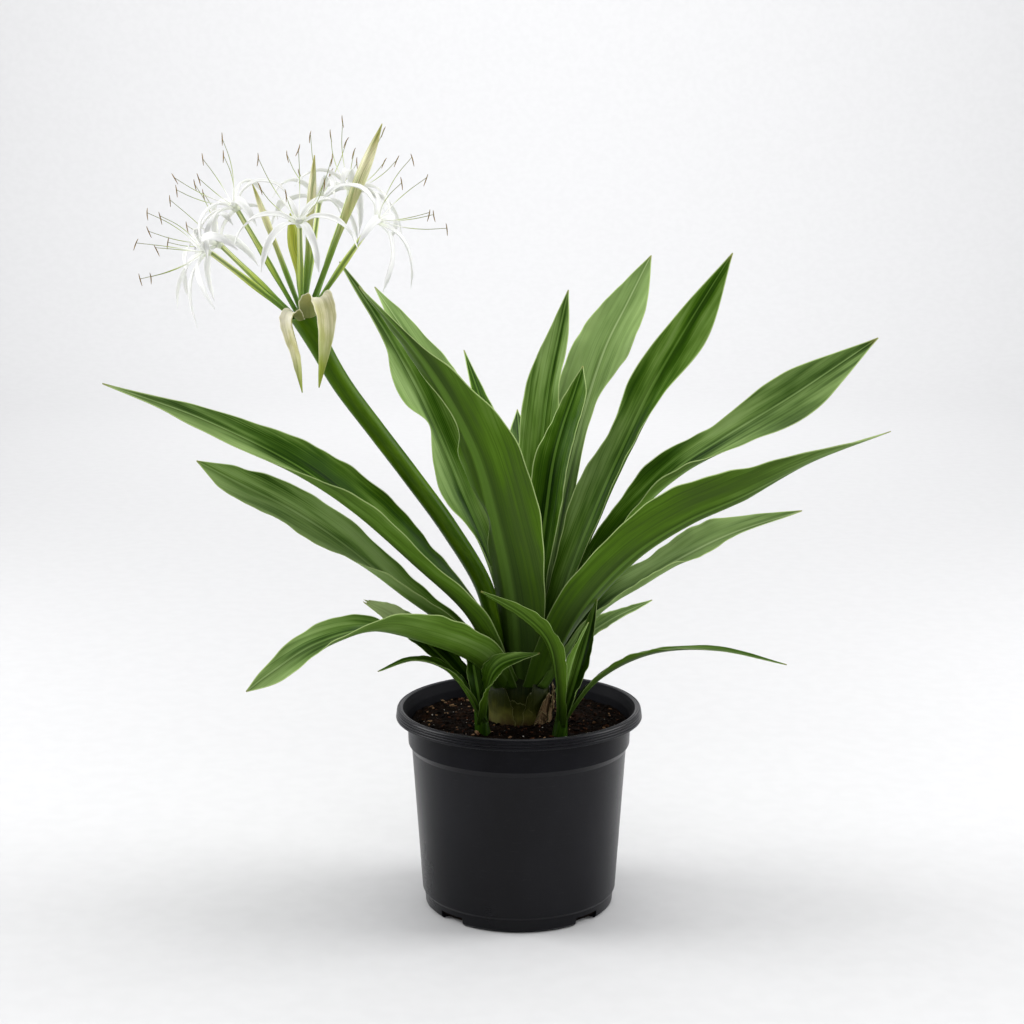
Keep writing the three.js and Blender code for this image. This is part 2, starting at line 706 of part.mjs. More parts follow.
function tepalSolid(points, outward) {
  const rings = points.map((point, i) => {
    const t = i / (points.length - 1);
    const ahead = points[Math.min(i + 1, points.length - 1)];
    const behind = points[Math.max(i - 1, 0)];
    const tangent = ahead.clone().sub(behind).normalize();
    const side = new THREE.Vector3().crossVectors(tangent, outward).normalize();
    const normal = new THREE.Vector3().crossVectors(side, tangent);
    const spread = 0.35 + 0.65 * Math.sin(Math.PI * Math.min(0.12 + t * 0.88, 0.97));
    const half = (TEPAL_WIDTH / 2) * spread;
    const left = point.clone().addScaledVector(side, -half);
    const right = point.clone().addScaledVector(side, half);
    const lift = normal.multiplyScalar(TEPAL_THICKNESS / 2);
    const upper = [left.clone().add(lift), right.clone().add(lift)];
    return [...upper, right.clone().sub(lift), left.clone().sub(lift)];
  });
  return solidOf(skin(rings, true));
}

// A white bloom: a throat, six tepals, and six filaments between them with an anther on each.
function bloomSolid(bloom, index) {
  const axis = vec(bloom.facing).normalize();
  const reference = Math.abs(axis.z) > 0.9 ? new THREE.Vector3(1, 0, 0) : new THREE.Vector3(0, 0, 1);
  const across = new THREE.Vector3().crossVectors(axis, reference).normalize();
  const other = new THREE.Vector3().crossVectors(axis, across);
  const radialAt = (turn) => {
    return across.clone().multiplyScalar(Math.cos(turn)).addScaledVector(other, Math.sin(turn));
  };
  const throat = vec(bloom.throat).addScaledVector(axis, GAP);
  const cup = new THREE.LineCurve3(throat, throat.clone().addScaledVector(axis, THROAT_LENGTH));
  const bodies = [tubeSolid(cup, [2.6, THROAT_RADIUS, 2.4], 2, TUBE_SIDES)];
  for (let k = 0; k < TEPAL_COUNT; k++) {
    const seed = index * 20 + k;
    const turn = radians(bloom.turn + (360 * k) / TEPAL_COUNT);
    const radial = radialAt(turn);
    const root = throat.clone().addScaledVector(axis, THROAT_LENGTH * 0.45).addScaledVector(radial, 1.8);
    const length = TEPAL_LENGTH * (0.88 + 0.2 * draw(seed));
    const closing = 125 + 30 * draw(seed + 7);
    const path = bentPath(root, axis, radial, length, 45, closing, 1.1, TEPAL_STEPS);
    bodies.push(tepalSolid(path, axis.clone().add(radial)));
    const between = radialAt(turn + Math.PI / TEPAL_COUNT);
    const base = throat.clone().addScaledVector(axis, THROAT_LENGTH * 0.9).addScaledVector(between, 1.4);
    const reach = FILAMENT_LENGTH * (0.85 + 0.25 * draw(seed + 11));
    const opening = 50 + 14 * draw(seed + 3);
    const line = bentPath(base, axis, between, reach, opening, 18, 0.05, FILAMENT_STEPS);
    const lie = new THREE.Vector3().crossVectors(axis, between).addScaledVector(axis, draw(seed + 5));
    lie.normalize().multiplyScalar(ANTHER_LENGTH / 2);
    const end = line[line.length - 1];
    line.push(end.clone().add(lie), end.clone().addScaledVector(lie, 2));
    const curve = new THREE.CatmullRomCurve3(line, false, "catmullrom", 0.5);
    const thread = new Array(FILAMENT_STEPS + 1).fill(FILAMENT_RADIUS);
    bodies.push(tubeSolid(curve, [...thread, ANTHER_RADIUS, TIP], line.length - 1, 3));
  }
  return largest(joined(bodies));
}

// Building: each piece keeps clear of the pieces that were placed before it.

const placed = [];

function place(name, material, build, isObstacle = true) {
  let solid = build(0);
  for (const earlier of placed) {
    if (solid.intersect(earlier).volume() > 0) solid = largest(solid.subtract(earlier));
  }
  addPiece(name, solid, material);
  if (isObstacle) placed.push(build(GAP));
}

makePot();
makeSoil([neckSolid(GAP), ...PUPS.map((pup) => pupSolid(pup, GAP))]);
place("bulb_neck", "neck_skin", neckSolid);
place("scape", "scape_green", scapeSolid);
for (const leaf of LEAVES) {
  place(leaf.name, "leaf_green", (grow) => leafSolid(leaf, LEAF_STEPS, LEAF_ACROSS, grow));
}
for (const pup of PUPS) place(pup.name, "pup_green", (grow) => pupSolid(pup, grow));
for (const bract of BRACTS) {
  const whole = { ...BRACT, ...bract };
  place(bract.name, "bract_cream", (grow) => leafSolid(whole, BRACT_STEPS, LEAF_ACROSS, grow));
}
BLOOMS.forEach((bloom, index) => {
  const curve = tubeCurve(bloom.seat, bloom.throat, vec(bloom.facing).normalize());
  place(`tube_${index + 1}`, "tube_green", (grow) => tubeSolid(curve, TUBE_RADII, 4, TUBE_SIDES, grow));
});
BUDS.forEach((bud, index) => {
  const way = vec(bud.tip).sub(footOf(bud.seat)).normalize();
  const curve = tubeCurve(bud.seat, bud.tip, way);
  const radii = [2.3, 2.3, 2.8, 2.6, bud.radius * 0.75, bud.radius, bud.radius * 0.75, 0.5];
  place(`bud_${index + 1}`, "tube_green", (grow) => tubeSolid(curve, radii, 7, TUBE_SIDES, grow));
});
BLOOMS.forEach((bloom, index) => {
  place(`bloom_${index + 1}`, "petal_white", () => bloomSolid(bloom, index + 1), false);
});

export default group;
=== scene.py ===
"""The looks of a potted crinum lily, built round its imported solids.

Tables and shapes are in millimetres, which make_object turns into metres, and in degrees. The studio
is in metres.
"""
import math

import bpy
import numpy as np
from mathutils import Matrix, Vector, noise


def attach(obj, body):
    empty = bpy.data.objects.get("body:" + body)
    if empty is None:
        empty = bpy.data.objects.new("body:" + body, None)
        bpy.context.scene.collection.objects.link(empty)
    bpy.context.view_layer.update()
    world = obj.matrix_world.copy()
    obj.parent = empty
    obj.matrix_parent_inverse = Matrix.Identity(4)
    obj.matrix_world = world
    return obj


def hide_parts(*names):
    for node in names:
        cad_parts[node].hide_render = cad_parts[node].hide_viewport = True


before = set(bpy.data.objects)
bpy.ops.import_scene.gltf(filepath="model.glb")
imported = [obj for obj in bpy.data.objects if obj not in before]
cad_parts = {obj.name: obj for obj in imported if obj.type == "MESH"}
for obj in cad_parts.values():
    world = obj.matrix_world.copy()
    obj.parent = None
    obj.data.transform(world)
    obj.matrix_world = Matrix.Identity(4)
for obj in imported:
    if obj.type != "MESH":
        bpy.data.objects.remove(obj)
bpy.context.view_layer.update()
SCENE = bpy.context.scene
MM = 0.001
TURN = 2 * math.pi
FAR = 9  # stands for a long way from any edge or rib

# The photograph's viewing angle
CAMERA_PLACE = (-0.0071, -1.974, 0.7703)
CAMERA_PITCH = 10.4
LENS = 70.3125
SENSOR = 36

# Sizes of the pot, the soil, the neck and the flowers
POT_HEIGHT = 208
RIM_RADIUS = 125.5
MOUTH_RADIUS = 118.5
BAND_BOTTOM = 171
BAND_TOP = 196.5
FOOT_RADIUS = 96.5
NOTCH_WIDTH = 32
NOTCH_DEPTH = 26
NOTCH_HEIGHT = 9
NOTCH_COUNT = 4
SOIL_EDGE = 190
SOIL_MOUND = 5
SOIL_REACH = 110.7
NECK_RADIUS = 29.5
NECK_TOP = 249
THROAT_RADIUS = 3.8
THROAT_LENGTH = 9
TEPAL_COUNT = 6
TEPAL_LENGTH = 74
TEPAL_WIDTH = 8.4
TEPAL_STEPS = 4
FILAMENT_LENGTH = 62
FILAMENT_STEPS = 3
ANTHER_LENGTH = 13
GAP = 0.3  # what grows stops this far from what it grows from
TIP = 0.6  # half the width of a blade at its tip

# Fineness: steps along a piece and strips or sides across it
LEAF_GRID = (120, 36)
PUP_GRID = (60, 20)
BRACT_GRID = (90, 28)
TEPAL_GRID = (30, 8)
SHEATH_GRID = (26, 40)
SCAPE_GRID = (90, 40)
TUBE_GRID = (44, 18)
BUD_GRID = (80, 36)
POT_SIDES = 192
NECK_SIDES = 72
SOIL_GRID = (84, 264)
SWEEP_SIDES = 96

# Leaves. waves holds a height, a count and a start for each edge. pale is how grey-green each half is,
# partly its bloom and partly painted sheen and light on that half, folds how far it curls and widths how far
# its edge is from the rib, all from the foot to the tip. tint lightens the whole leaf, band is the half width
# of its rib, and spine is a line of points.
LEAF_KEYS = ("name", "heading", "tint", "band", "roll", "waves", "pale", "folds", "widths", "spine")
LEAF_ROWS = [
    ("leaf_left_low", 208, 0.03, 2, [10, 18, 12, -18, -45, -60], [[2, 3, 0.2], [2, 3, 0.6]],
     [[0, 0, 0.15, 0.45, 0.5], [0, 0.1, 0.35, 0.65, 0.65]], [[70, 60, 40, 20, 10, 10], [75, 80, 85, 75, 30, 10]],
     [[26, 22, 22, 28, 20, 9, TIP], [28, 33, 37, 28, 22, 14, TIP]],
     [[-22, -16, 228], [-46, -46, 266], [-92, -72, 292], [-144, -98, 310], [-194, -126, 303], [-234, -146, 281],
      [-257, -156, 265]]),
    ("leaf_right_short", 30, 0, 2, [0, 10, 20], [[1.5, 1, 0], [1.5, 1, 0.5]], [[0.2, 0.5, 0.5]] * 2,
     [[70, 50, 30], [70, 40, 20]], [[24, 14, 13, 10, TIP]] * 2,
     [[25, 8, 226], [50, 24, 258], [94, 48, 284], [140, 76, 300]]),
    ("leaf_left_mid", 190, 0.075, 2, [0, -5, -20, -38, -48, -52], [[2.5, 2, 0.1], [2.5, 3, 0.4]],
     [[0, 0.12, 0.28, 0.3, 0.2], [0, 0.15, 0.4, 0.5, 0.45]], [[70, 50, 30, 20, 15, 10], [70, 85, 60, 25, 20, 10]],
     [[28, 27, 33, 31, 28, 17, TIP], [28, 25, 28, 27, 24, 19, TIP]],
     [[-24, -8, 226], [-60, -22, 284], [-116, -36, 332], [-170, -48, 382], [-222, -60, 421], [-275, -66, 450],
      [-311, -70, 471]]),
    ("leaf_right_low", 12, 0.015, 2, [0, 5, 15, 25, 35, 40], [[2.5, 4, 0.1], [2.5, 4, 0.5]],
     [[0.1, 0.5, 0.8, 0.85, 0.8], [0.1, 0.45, 0.7, 0.8, 0.75]], [[70, 75, 60, 40, 20], [70, 40, 25, 20, 15]],
     [[28, 22, 22, 15, 7, TIP], [28, 24, 28, 27, 21, TIP]],
     [[26, -2, 226], [78, 8, 300], [129, 22, 333], [175, 34, 358], [223, 48, 378], [293, 62, 398]]),
    ("leaf_right_front", 342, -0.02, 2, [0, -40, -52, -50, -40, -15, 10], [[2, 2, 0.1], [2, 5, 0.45]],
     [[0, 0, 0.05, 0.1, 0.35, 0.7], [0, 0, 0.05, 0.2, 0.45, 0.7]],
     [[65, 45, 45, 55, 60, 25], [70, 80, 90, 90, 50, 20]],
     [[26, 28, 31, 37, 31, 18, TIP], [26, 24, 24, 24, 20, 10, TIP]],
     [[22, -12, 230], [58, -42, 312], [106, -62, 372], [159, -78, 412], [213, -92, 440], [276, -108, 476],
      [347, -122, 507]]),
    ("leaf_left_high", 192, -0.012, 2, [0, -10, -24, -32, -46, -52, -50], [[2, 3, 0.3], [2, 3, 0]],
     [[0, 0, 0, 0.05, 0.35, 0.85], [0, 0.05, 0.1, 0.3, 0.6, 0.85]],
     [[70, 50, 40, 20, 15, 10], [70, 80, 105, 90, 30, 10]],
     [[26, 27, 28, 32, 36, 37.5, 37, 34, 29, 21, 13, 5, TIP], [26, 29, 32, 36, 40, 42.5, 42, 36, 28, 20, 13, 5, TIP]],
     [[-20, -14, 232], [-50, -36, 308], [-104, -50, 369], [-164, -62, 427], [-222, -78, 472], [-304, -98, 517],
      [-390, -114, 551]]),
    ("leaf_right_high", 10, -0.012, 2, [0, 5, 15, 30, 48, 55, 55], [[2, 4, 0.2], [2, 4, 0.6]],
     [[0, 0, 0.15, 0.35, 0.55, 0.65], [0, 0, 0.1, 0.25, 0.4, 0.55]],
     [[70, 70, 90, 70, 25, 15], [70, 50, 40, 25, 15, 10]],
     [[22, 24, 28, 35, 24, 29, TIP], [22, 25, 21, 28, 18, 25, TIP]],
     [[22, -4, 236], [65, 6, 330], [106, 16, 392], [155, 30, 442], [210, 42, 478], [284, 54, 522], [366, 62, 577]]),
    ("leaf_front_broad", 235, -0.008, 7, [0, 0, 0, 0, 0], [[2, 3, 0.5], [2, 2, 0]],
     [[0, 0, 0.05, 0.15, 0.4, 0.65], [0, 0, 0.02, 0.05, 0.2, 0.5]],
     [[65, 40, 22, 15, 15, 20], [65, 45, 30, 30, 25, 20]],
     [[24, 25, 26, 23, 12, 29, 25, 6, 7, 17, 17, 9, TIP], [24, 31, 36, 43, 49, 50, 48, 41, 28, 19, 9, 4, TIP]],
     [[-2, -21, 236], [-9, -42, 330], [-24, -60, 410], [-41, -80, 477], [-68, -104, 537], [-102, -130, 591],
      [-146, -152, 644]]),
    ("leaf_right_steep", 18, 0.025, 2, [0, 25, 35, 50, 65, 65], [[2, 3, 0.1], [2, 4, 0.4]],
     [[0, 0.05, 0.15, 0.15, 0.1, 0.1], [0, 0.1, 0.35, 0.2, 0.05, 0.05]],
     [[65, 70, 90, 70, 25, 15], [65, 50, 40, 25, 15, 10]],
     [[18, 20, 24, 24, 19, 25, TIP], [18, 22, 28, 19, 25, 16, TIP]],
     [[20, 2, 240], [50, 12, 336], [80, 24, 412], [108, 36, 474], [135, 48, 528], [172, 64, 590], [218, 80, 662]]),
    ("leaf_back_right", 55, 0.012, 2, [0, 5, 10, 15], [[2.5, 4, 0.3], [2, 3, 0]], [[0.3, 0.55, 0.85, 0.95, 0.9]] * 2,
     [[65, 50, 40, 20, 15], [65, 40, 20, 15]], [[16, 16, 19, 13, 31, 24, TIP], [16, 20, 28, 35, 34, 22, TIP]],
     [[16, 10, 240], [33, 42, 340], [50, 80, 425], [72, 116, 503], [92, 140, 559], [116, 160, 605], [142, 182, 654]]),
    ("leaf_left_back", 140, 0.03, 2, [0, 0, 0], [[2, 3, 0], [2, 3, 0.5]], [[0.7, 0.95, 0.85, 0.75]] * 2,
     [[65, 40, 25, 20]] * 2, [[18, 20, 26, 30, 24, TIP], [18, 22, 28, 30, 23, TIP]],
     [[-2, 16, 240], [-14, 50, 345], [-44, 88, 437], [-84, 112, 518], [-115, 130, 568], [-152, 145, 623]]),
    ("leaf_back_low", 92, 0, 2, [0, 0, 0], [[2, 4, 0], [2, 4, 0.5]], [[0.2, 0.5, 0.5]] * 2, [[65, 40, 25, 20]] * 2,
     [[18, 20, 25, 24, 14, TIP]] * 2, [[7, 20, 238], [6, 92, 345], [3, 200, 422], [-1, 318, 470]]),
    ("leaf_left_steep", 178, 0.055, 2, [-20, -50, -62, -66], [[2, 4, 0.2], [2, 5, 0.1]],
     [[0, 0.05, 0.1, 0.15, 0.2, 0.3], [0.25, 0.2, 0.3, 0.45, 0.45, 0.4]],
     [[60, 45, 30, 30, 40, 30], [60, 50, 30, 20]],
     [[15, 16, 17, 20, 24, 28, 31, 27, 16, 9, 6, 4, TIP], [15, 15, 13, 18, 31, 25, 9, 25, 23, 9, 5, 4, TIP]],
     [[2, 7, 242], [-31, 18, 358], [-58, 20, 426], [-86, 23, 494], [-111, 26, 546], [-142, 28, 600],
      [-179, 30, 656]]),
    ("leaf_back_narrow", 112, 0.0, 2, [0, 0, 0], [[2, 2, 0], [2, 2, 0.5]], [[0.15, 0.15, 0]] * 2,
     [[60, 40, 25, 20]] * 2, [[14, 15, 19, 18, 10, TIP]] * 2,
     [[4, 12, 242], [-6, 74, 355], [-28, 152, 458], [-60, 226, 548]]),
    ("leaf_back_upright", 75, 0.08, 2, [0, 0, 0], [[2, 2, 0], [2, 2, 0.5]], [[0, 0, 0.1, 0.25, 0.35]] * 2,
     [[60, 40, 25, 20]] * 2, [[13, 16, 20, 20, 13, 11, TIP], [13, 18, 21, 24, 24, 12, TIP]],
     [[9, 11, 242], [13, 34, 342], [19, 56, 410], [24, 78, 470], [31, 98, 524], [42, 116, 575], [52, 130, 621]]),
    ("leaf_centre", 68, 0.034, 2, [0, 0, 0], [[2, 1, 0], [2, 2, 0.5]], [[0, 0, 0.05, 0.1, 0.2]] * 2,
     [[60, 45, 30, 20]] * 2, [[11, 15, 19, 19, 19, 15, TIP], [11, 15, 18, 20, 14, 8, TIP]],
     [[11, 0, 243], [20, 8, 345], [28, 16, 407], [35, 26, 455], [45, 36, 491], [56, 46, 522], [65, 56, 549]]),
]

# Pups: a name, a tint, a stem and its leaves. outline holds half widths as shares of the leaf's width, and
# torn is how deep its end is torn.
PUP_OUTLINE = [0.3, 0.42, 0.5, 0.42, 0.25, 0.03]
TORN_OUTLINE = [0.3, 0.42, 0.5, 0.46, 0.36, 0.1]
PUP_KEYS = ("heading", "width", "outline", "torn", "roll", "spine")
PUP_ROWS = [
    ("pup_left", 0.025, [[-34, -50, 160], [-36, -50, 190], [-40, -48, 220]], [
        (205, 20, PUP_OUTLINE, 0, [0, -15, -20],
         [[-36, -50, 204], [-55, -57, 243], [-78, -66, 266], [-105, -80, 276], [-137, -98, 269]]),
        (172, 34, TORN_OUTLINE, 7, [0, -20, -35, -35],
         [[-37, -48, 204], [-61, -46, 250], [-91, -43, 282], [-124, -40, 309], [-155, -38, 326]]),
        (125, 24, PUP_OUTLINE, 0, [0, 0, 0], [[-37, -49, 204], [-43, -43, 243], [-48, -37, 273], [-52, -31, 298]]),
        (340, 32, PUP_OUTLINE, 0, [0, 45, 20], [[-35, -50, 204], [-30, -60, 244], [-17, -68, 268], [20, -78, 282]]),
    ]),
    ("pup_right", 0, [[38, -60, 160], [40, -59, 190], [43, -57, 220]], [
        (195, 30, PUP_OUTLINE, 0, [0, 25, 50],
         [[40, -60, 204], [37, -69, 255], [28, -78, 295], [2, -88, 324], [-37, -96, 348]]),
        (330, 22, PUP_OUTLINE, 0, [0, 0, 0], [[42, -59, 204], [47, -60, 248], [55, -62, 279], [68, -65, 310]]),
        (40, 28, PUP_OUTLINE, 0, [0, 10, 0], [[43, -57, 204], [56, -50, 247], [67, -45, 285], [77, -42, 328]]),
        (8, 22, PUP_OUTLINE, 0, [0, -15, 20],
         [[43, -56, 204], [78, -52, 248], [132, -47, 274], [198, -42, 276], [267, -38, 260]]),
    ]),
]

BRACT_KEYS = ("name", "heading", "widths", "spine")
BRACT_ROWS = [
    ("bract_right", 300, [[8, 11, 13, 12, 8.5, TIP]] * 2,
     [[-199, -74, 609], [-197, -81, 623], [-188, -88, 627], [-183, -90, 600], [-190, -88, 544]]),
    ("bract_left", 225, [[8, 10, 11, 10, 6, TIP]] * 2,
     [[-210, -71, 606], [-215, -76, 614], [-218, -80, 604], [-211, -80, 574], [-207, -78, 538]]),
]
PUP_LEAF = {"folds": [[60, 40, 25]] * 2, "waves": [[1, 1.5, 0], [1, 1.5, 0.5]], "pale": [[0, 0.1, 0.2]] * 2,
            "band": 2}
BRACT = {"folds": [[40, 50, 30]] * 2, "roll": [0, 0, 0], "waves": [[1.5, 1, 0], [1.5, 1, 0.5]],
         "pale": [[0, 0]] * 2, "tint": 0, "band": 2}

SCAPE_SPINE = [[-13, 2, 236], [-21, 0, 276], [-36, -4, 334], [-69, -18, 394], [-105, -32, 448], [-139, -42, 496],
               [-171, -51, 542], [-193, -57, 583], [-206, -60, 612]]
SCAPE_RADII = [10, 9.4, 9, 9, 9, 9, 9.4, 10.4, 14.5]

# Flowers: where each stands on the stalk's end (an angle and a distance from its axis), where its throat
# is, which way it faces and how far it's turned
BLOOMS = [
    ((212, 11), (-288, -94, 671), (-0.95, -0.3, 0.15), 30),
    ((155, 11), (-287, -24, 673), (-0.75, 0.3, 0.55), 58),
    ((188, 5.4), (-266, -64, 709), (-0.6, -0.25, 0.75), 6),
    ((262, 11), (-202, -121, 696), (-0.05, -0.5, 0.85), 0),
    ((95, 11), (-196, 6, 713), (0.0, 0.55, 0.85), 48),
    ((345, 11), (-138, -82, 698), (0.85, -0.2, 0.45), 0),
    ((35, 11), (-165, -10, 721), (0.3, 0.35, 0.9), 3),
]
# Buds: where each stands, its tip, its radius and how green it is
BUDS = [
    ((120, 5.4), (-255, -40, 734), 4, 0),
    ((0, 0), (-193, -62, 761), 5, 0),
    ((15, 5.4), (-129, -62, 790), 7, 0),
    ((275, 5.4), (-213, -98, 708), 7, 1),
]
TUBE_RADII = [2.3, 2.3, 3.2, 2.6, 2.4]
FILAMENT_RADII = [0.55, 0.42, 0.32, 0.26]
ANTHER_RADII = [0.18, 0.36, 0.42, 0.36, 0.18]

# The neck, as radii and heights, and the sheaths that wrap it: the middle angle and the half width of
# each, its top, how far it stands off and how dry it is
NECK_PROFILE = [[0, 105], [20.9, 108], [34.2, 123], [38, 143], [35.34, 165], [31, 188], [29.5, 205], [30, 227],
                [27.5, 241], [17.5, 248], [0, 249]]
VEIN_RADIUS = 30  # turns an angle round the neck into millimetres for its veins
SHEATH_FOOT = 186
SHEATH_THICKNESS = 0.6
SHEATHS = [
    (-104, 52, 220, 0.8, 0.0),
    (-20, 68, 254, 1.4, 0.0),
    (-160, 66, 250, 1.8, 0.0),
    (-30, 34, 224, 2.4, 1.0),
    (-50, 15, 208, 3.2, 1.0),
    (-8, 22, 232, 3.0, 1.0),
    (60, 80, 240, 1.0, 0.0),
    (135, 66, 232, 2.4, 0.6),
]

# The pot, as radii and heights: the rolls of its rim are given as insets and drops from its top edge
RIM_PROFILE = [(0.3, 11), (0, 10.2), (0.35, 8.3), (1.5, 7.9), (0.3, 7.5), (0.65, 5.7), (1.8, 5.3),
               (0.6, 4.9), (1.0, 3.2), (2.0, 2.8), (1.0, 2.4), (1.6, 0.9), (2.8, 0), (3.8, 0.8), (5, 0)]
POT_OUTER = [[0, 0], [46, 0], [48, 3], [76, 3], [78, 0], [93.5, 0], [96.5, 3], [97.3, 14], [99.5, 17], [109.5, 165],
             [113, 171], [114, 197]]
POT_INNER = [[118.5, 207.2], [116.2, 204.5], [113, 198], [111, 171], [107.5, 165], [97.5, 17], [94.5, 5], [0, 5]]
CORNER_RADIUS = 0.6
AXIS_RADIUS = 0.05
CORNER_ANGLE = 35  # corners sharper than this are shaded as edges
NOTCH_CORNERS = [(-1, -1, -1), (1, -1, -1), (1, 1, -1), (-1, 1, -1),
                 (-1, -0.92, 1), (1, -0.92, 1), (1, 0.92, 1), (-1, 0.92, 1)]
BOX_FACES = [(0, 3, 2, 1), (4, 5, 6, 7), (0, 1, 5, 4), (1, 2, 6, 5), (2, 3, 7, 6), (3, 0, 4, 7)]
SOIL_WALL = [[110.7, 182], [107.2, 165], [94.2, 5.3]]

# Looks of the leaves and pups, and of the pot's outside, its inside and the band below its rim; the inside and the
# band are less glossy copies of the plastic that paint their shade
LEAF_LOOKS = {"deep": (0.006, 0.024, 0.0004), "mid": (0.028, 0.080, 0.001), "light": (0.080, 0.180, 0.005),
              "below": (0.055, 0.105, 0.014), "shade": 0.65, "margin": 1.0}
PUP_LOOKS = {"deep": (0.005, 0.018, 0.0004), "mid": (0.022, 0.060, 0.001), "light": (0.075, 0.165, 0.005),
             "below": (0.040, 0.080, 0.008), "shade": 0.75, "margin": 0.3}
PLASTICS = [("moulded_plastic", 0.27, 0.18), ("shade_dulled_plastic", 0.60, 0.06), ("band_plastic", 0.27, 0.08)]

# Studio, in metres: each light's name, place, aim, size, watts, color and whether it shows as a sheen
WHITE = (1, 1, 1)
LIGHTS = [
    ("top", (0.1, 0.3, 3.9), (0, 0, 0.2), 3.2, 103, (1.0, 0.995, 0.985), True),
    ("front", (0.2, -3.2, 1.8), (0, 0, 0.4), 2.2, 24, WHITE, False),
    ("left", (-2.4, 0.2, 1.3), (0, 0, 0.4), 1.5, 58, WHITE, True),
    ("right", (2.4, 0.2, 1.3), (0, 0, 0.4), 1.5, 58, WHITE, True),
    ("backdrop", (0, 3.3, 3.7), (0, 6.3, 1.5), 2.6, 170, WHITE, True),
]
SKY_COLOR = (0.93, 0.95, 1.0, 1)
SKY_STRENGTH = 0.33
FLOOR_RADIUS = 4.2
SWEEP_RADIUS = 2.2
SWEEP_STEPS = 12
BACKDROP_HEIGHT = 6.0

# Numbers


def draw(seed):
    """A repeatable draw between 0 and 1 for a whole number."""
    x = math.sin(seed * 12.9898) * 43758.5453
    return x - math.floor(x)


def along(values, t):
    """The values at t, from 0 to 1, of a smooth line through a list of numbers."""
    v = np.asarray(values, float)
    place = np.asarray(t, float) * (len(v) - 1)
    first = np.minimum(np.floor(place).astype(int), len(v) - 2)
    x = place - first
    v = np.concatenate([[2 * v[0] - v[1]], v, [2 * v[-1] - v[-2]]])
    p0, p1, p2, p3 = (v[first + k] for k in range(4))
    bend = 2 * p0 - 5 * p1 + 4 * p2 - p3
    return 0.5 * (2 * p1 + x * (p2 - p0 + x * (bend + x * (3 * (p1 - p2) + p3 - p0))))


def curve(points, t):
    points = np.asarray(points, float)
    return np.stack([along(points[:, k], t) for k in range(3)], axis=-1)


def unit(v):
    v = np.asarray(v, float)
    return v / np.maximum(np.linalg.norm(v, axis=-1, keepdims=True), 1e-12)


def tangents(points, t):
    t = np.asarray(t, float)
    return unit(curve(points, np.minimum(t + 1e-4, 1)) - curve(points, np.maximum(t - 1e-4, 0)))


def arc_lengths(points):
    steps = np.linalg.norm(np.diff(points, axis=0), axis=1)
    return np.concatenate([[0], np.cumsum(steps)])


def arch(start, middle, end, x):
    """Points at x of a bent line that starts out towards its middle point."""
    return (1 - x) ** 2 * start + 2 * x * (1 - x) * middle + x * x * end


def wobble(seed, x, count=5):
    """A smooth irregular line through x with a height of about 1."""
    total = np.zeros_like(np.asarray(x, float))
    for k in range(1, count + 1):
        phase = TURN * draw(seed * 31 + k)
        total += np.sin(TURN * k * (0.7 + 0.6 * draw(seed * 17 + k)) * x + phase) / k ** 0.7
    return total / 2


def circle(sides):
    return TURN * np.arange(sides) / sides


# Meshes


def make_object(name, verts, faces, materials, layers=None, slots=None, smooth=True):
    """An object from vertices in millimetres. layers are numbers per vertex, which materials read."""
    mesh = bpy.data.meshes.new(name)
    mesh.from_pydata((np.asarray(verts) * MM).tolist(), [], [tuple(f) for f in faces])
    for key, values in (layers or {}).items():
        values = np.asarray(values, np.float32)
        kind = "FLOAT" if values.ndim == 1 else "FLOAT_VECTOR"
        layer = mesh.attributes.new(key, kind, "POINT")
        layer.data.foreach_set("value" if kind == "FLOAT" else "vector", values.ravel())
    for material in materials:
        mesh.materials.append(material)
    if slots is not None:
        mesh.polygons.foreach_set("material_index", np.asarray(slots, np.int32))
    mesh.polygons.foreach_set("use_smooth", [smooth] * len(mesh.polygons))
    mesh.update()
    piece = bpy.data.objects.new(name, mesh)
    SCENE.collection.objects.link(piece)
    return piece


def dress(piece, slot, *nodes):
    """Gives a piece its body and the solids that it stands for, if any. slot is not used."""
    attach(piece, "root")
    if nodes:
        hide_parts(*nodes)


def show(name, slot, node, material, verts, faces, layers=None):
    dress(make_object(name, verts, faces, [material], layers), slot, node)


class Batch:
    """Gathers parts of one mesh with their layers."""

    def __init__(self):
        self.verts, self.faces, self.layers, self.slots, self.count = [], [], {}, [], 0

    def add(self, verts, faces, layers=None, slot=0):
        verts = np.asarray(verts, float).reshape(-1, 3)
        self.faces.extend(tuple(int(i) + self.count for i in f) for f in faces)
        self.slots.extend([slot] * len(faces))
        self.verts.append(verts)
        for key, values in (layers or {}).items():
            self.layers.setdefault(key, []).append(values)
        self.count += len(verts)

    def build(self, name, materials, smooth=True):
        layers = {key: np.concatenate(values) for key, values in self.layers.items()}
        return make_object(name, np.concatenate(self.verts), self.faces, materials, layers, self.slots, smooth)


def even(verts, **values):
    """Layers with one value all over."""
    return {key: np.full(len(verts), float(value)) for key, value in values.items()}


def ring_faces(rings, count, caps=True):
    """Faces of a skin over rings of equal length."""
    faces = []
    for i in range(rings - 1):
        for k in range(count):
            a, b = i * count + k, i * count + (k + 1) % count
            faces.append((a, b, b + count, a + count))
    if caps:
        last = (rings - 1) * count
        faces += [tuple(range(count))[::-1], tuple(range(last, last + count))]
    return faces


def blade_faces(rings, columns):
    """Faces of a blade whose rings list the upper face and then the lower face backwards."""
    count = 2 * columns
    faces = ring_faces(rings, count, caps=False)
    last = (rings - 1) * count
    for k in range(columns - 1):
        under = count - 1 - k
        faces.append((k, under, under - 1, k + 1))
        faces.append((last + k, last + k + 1, last + under - 1, last + under))
    return faces


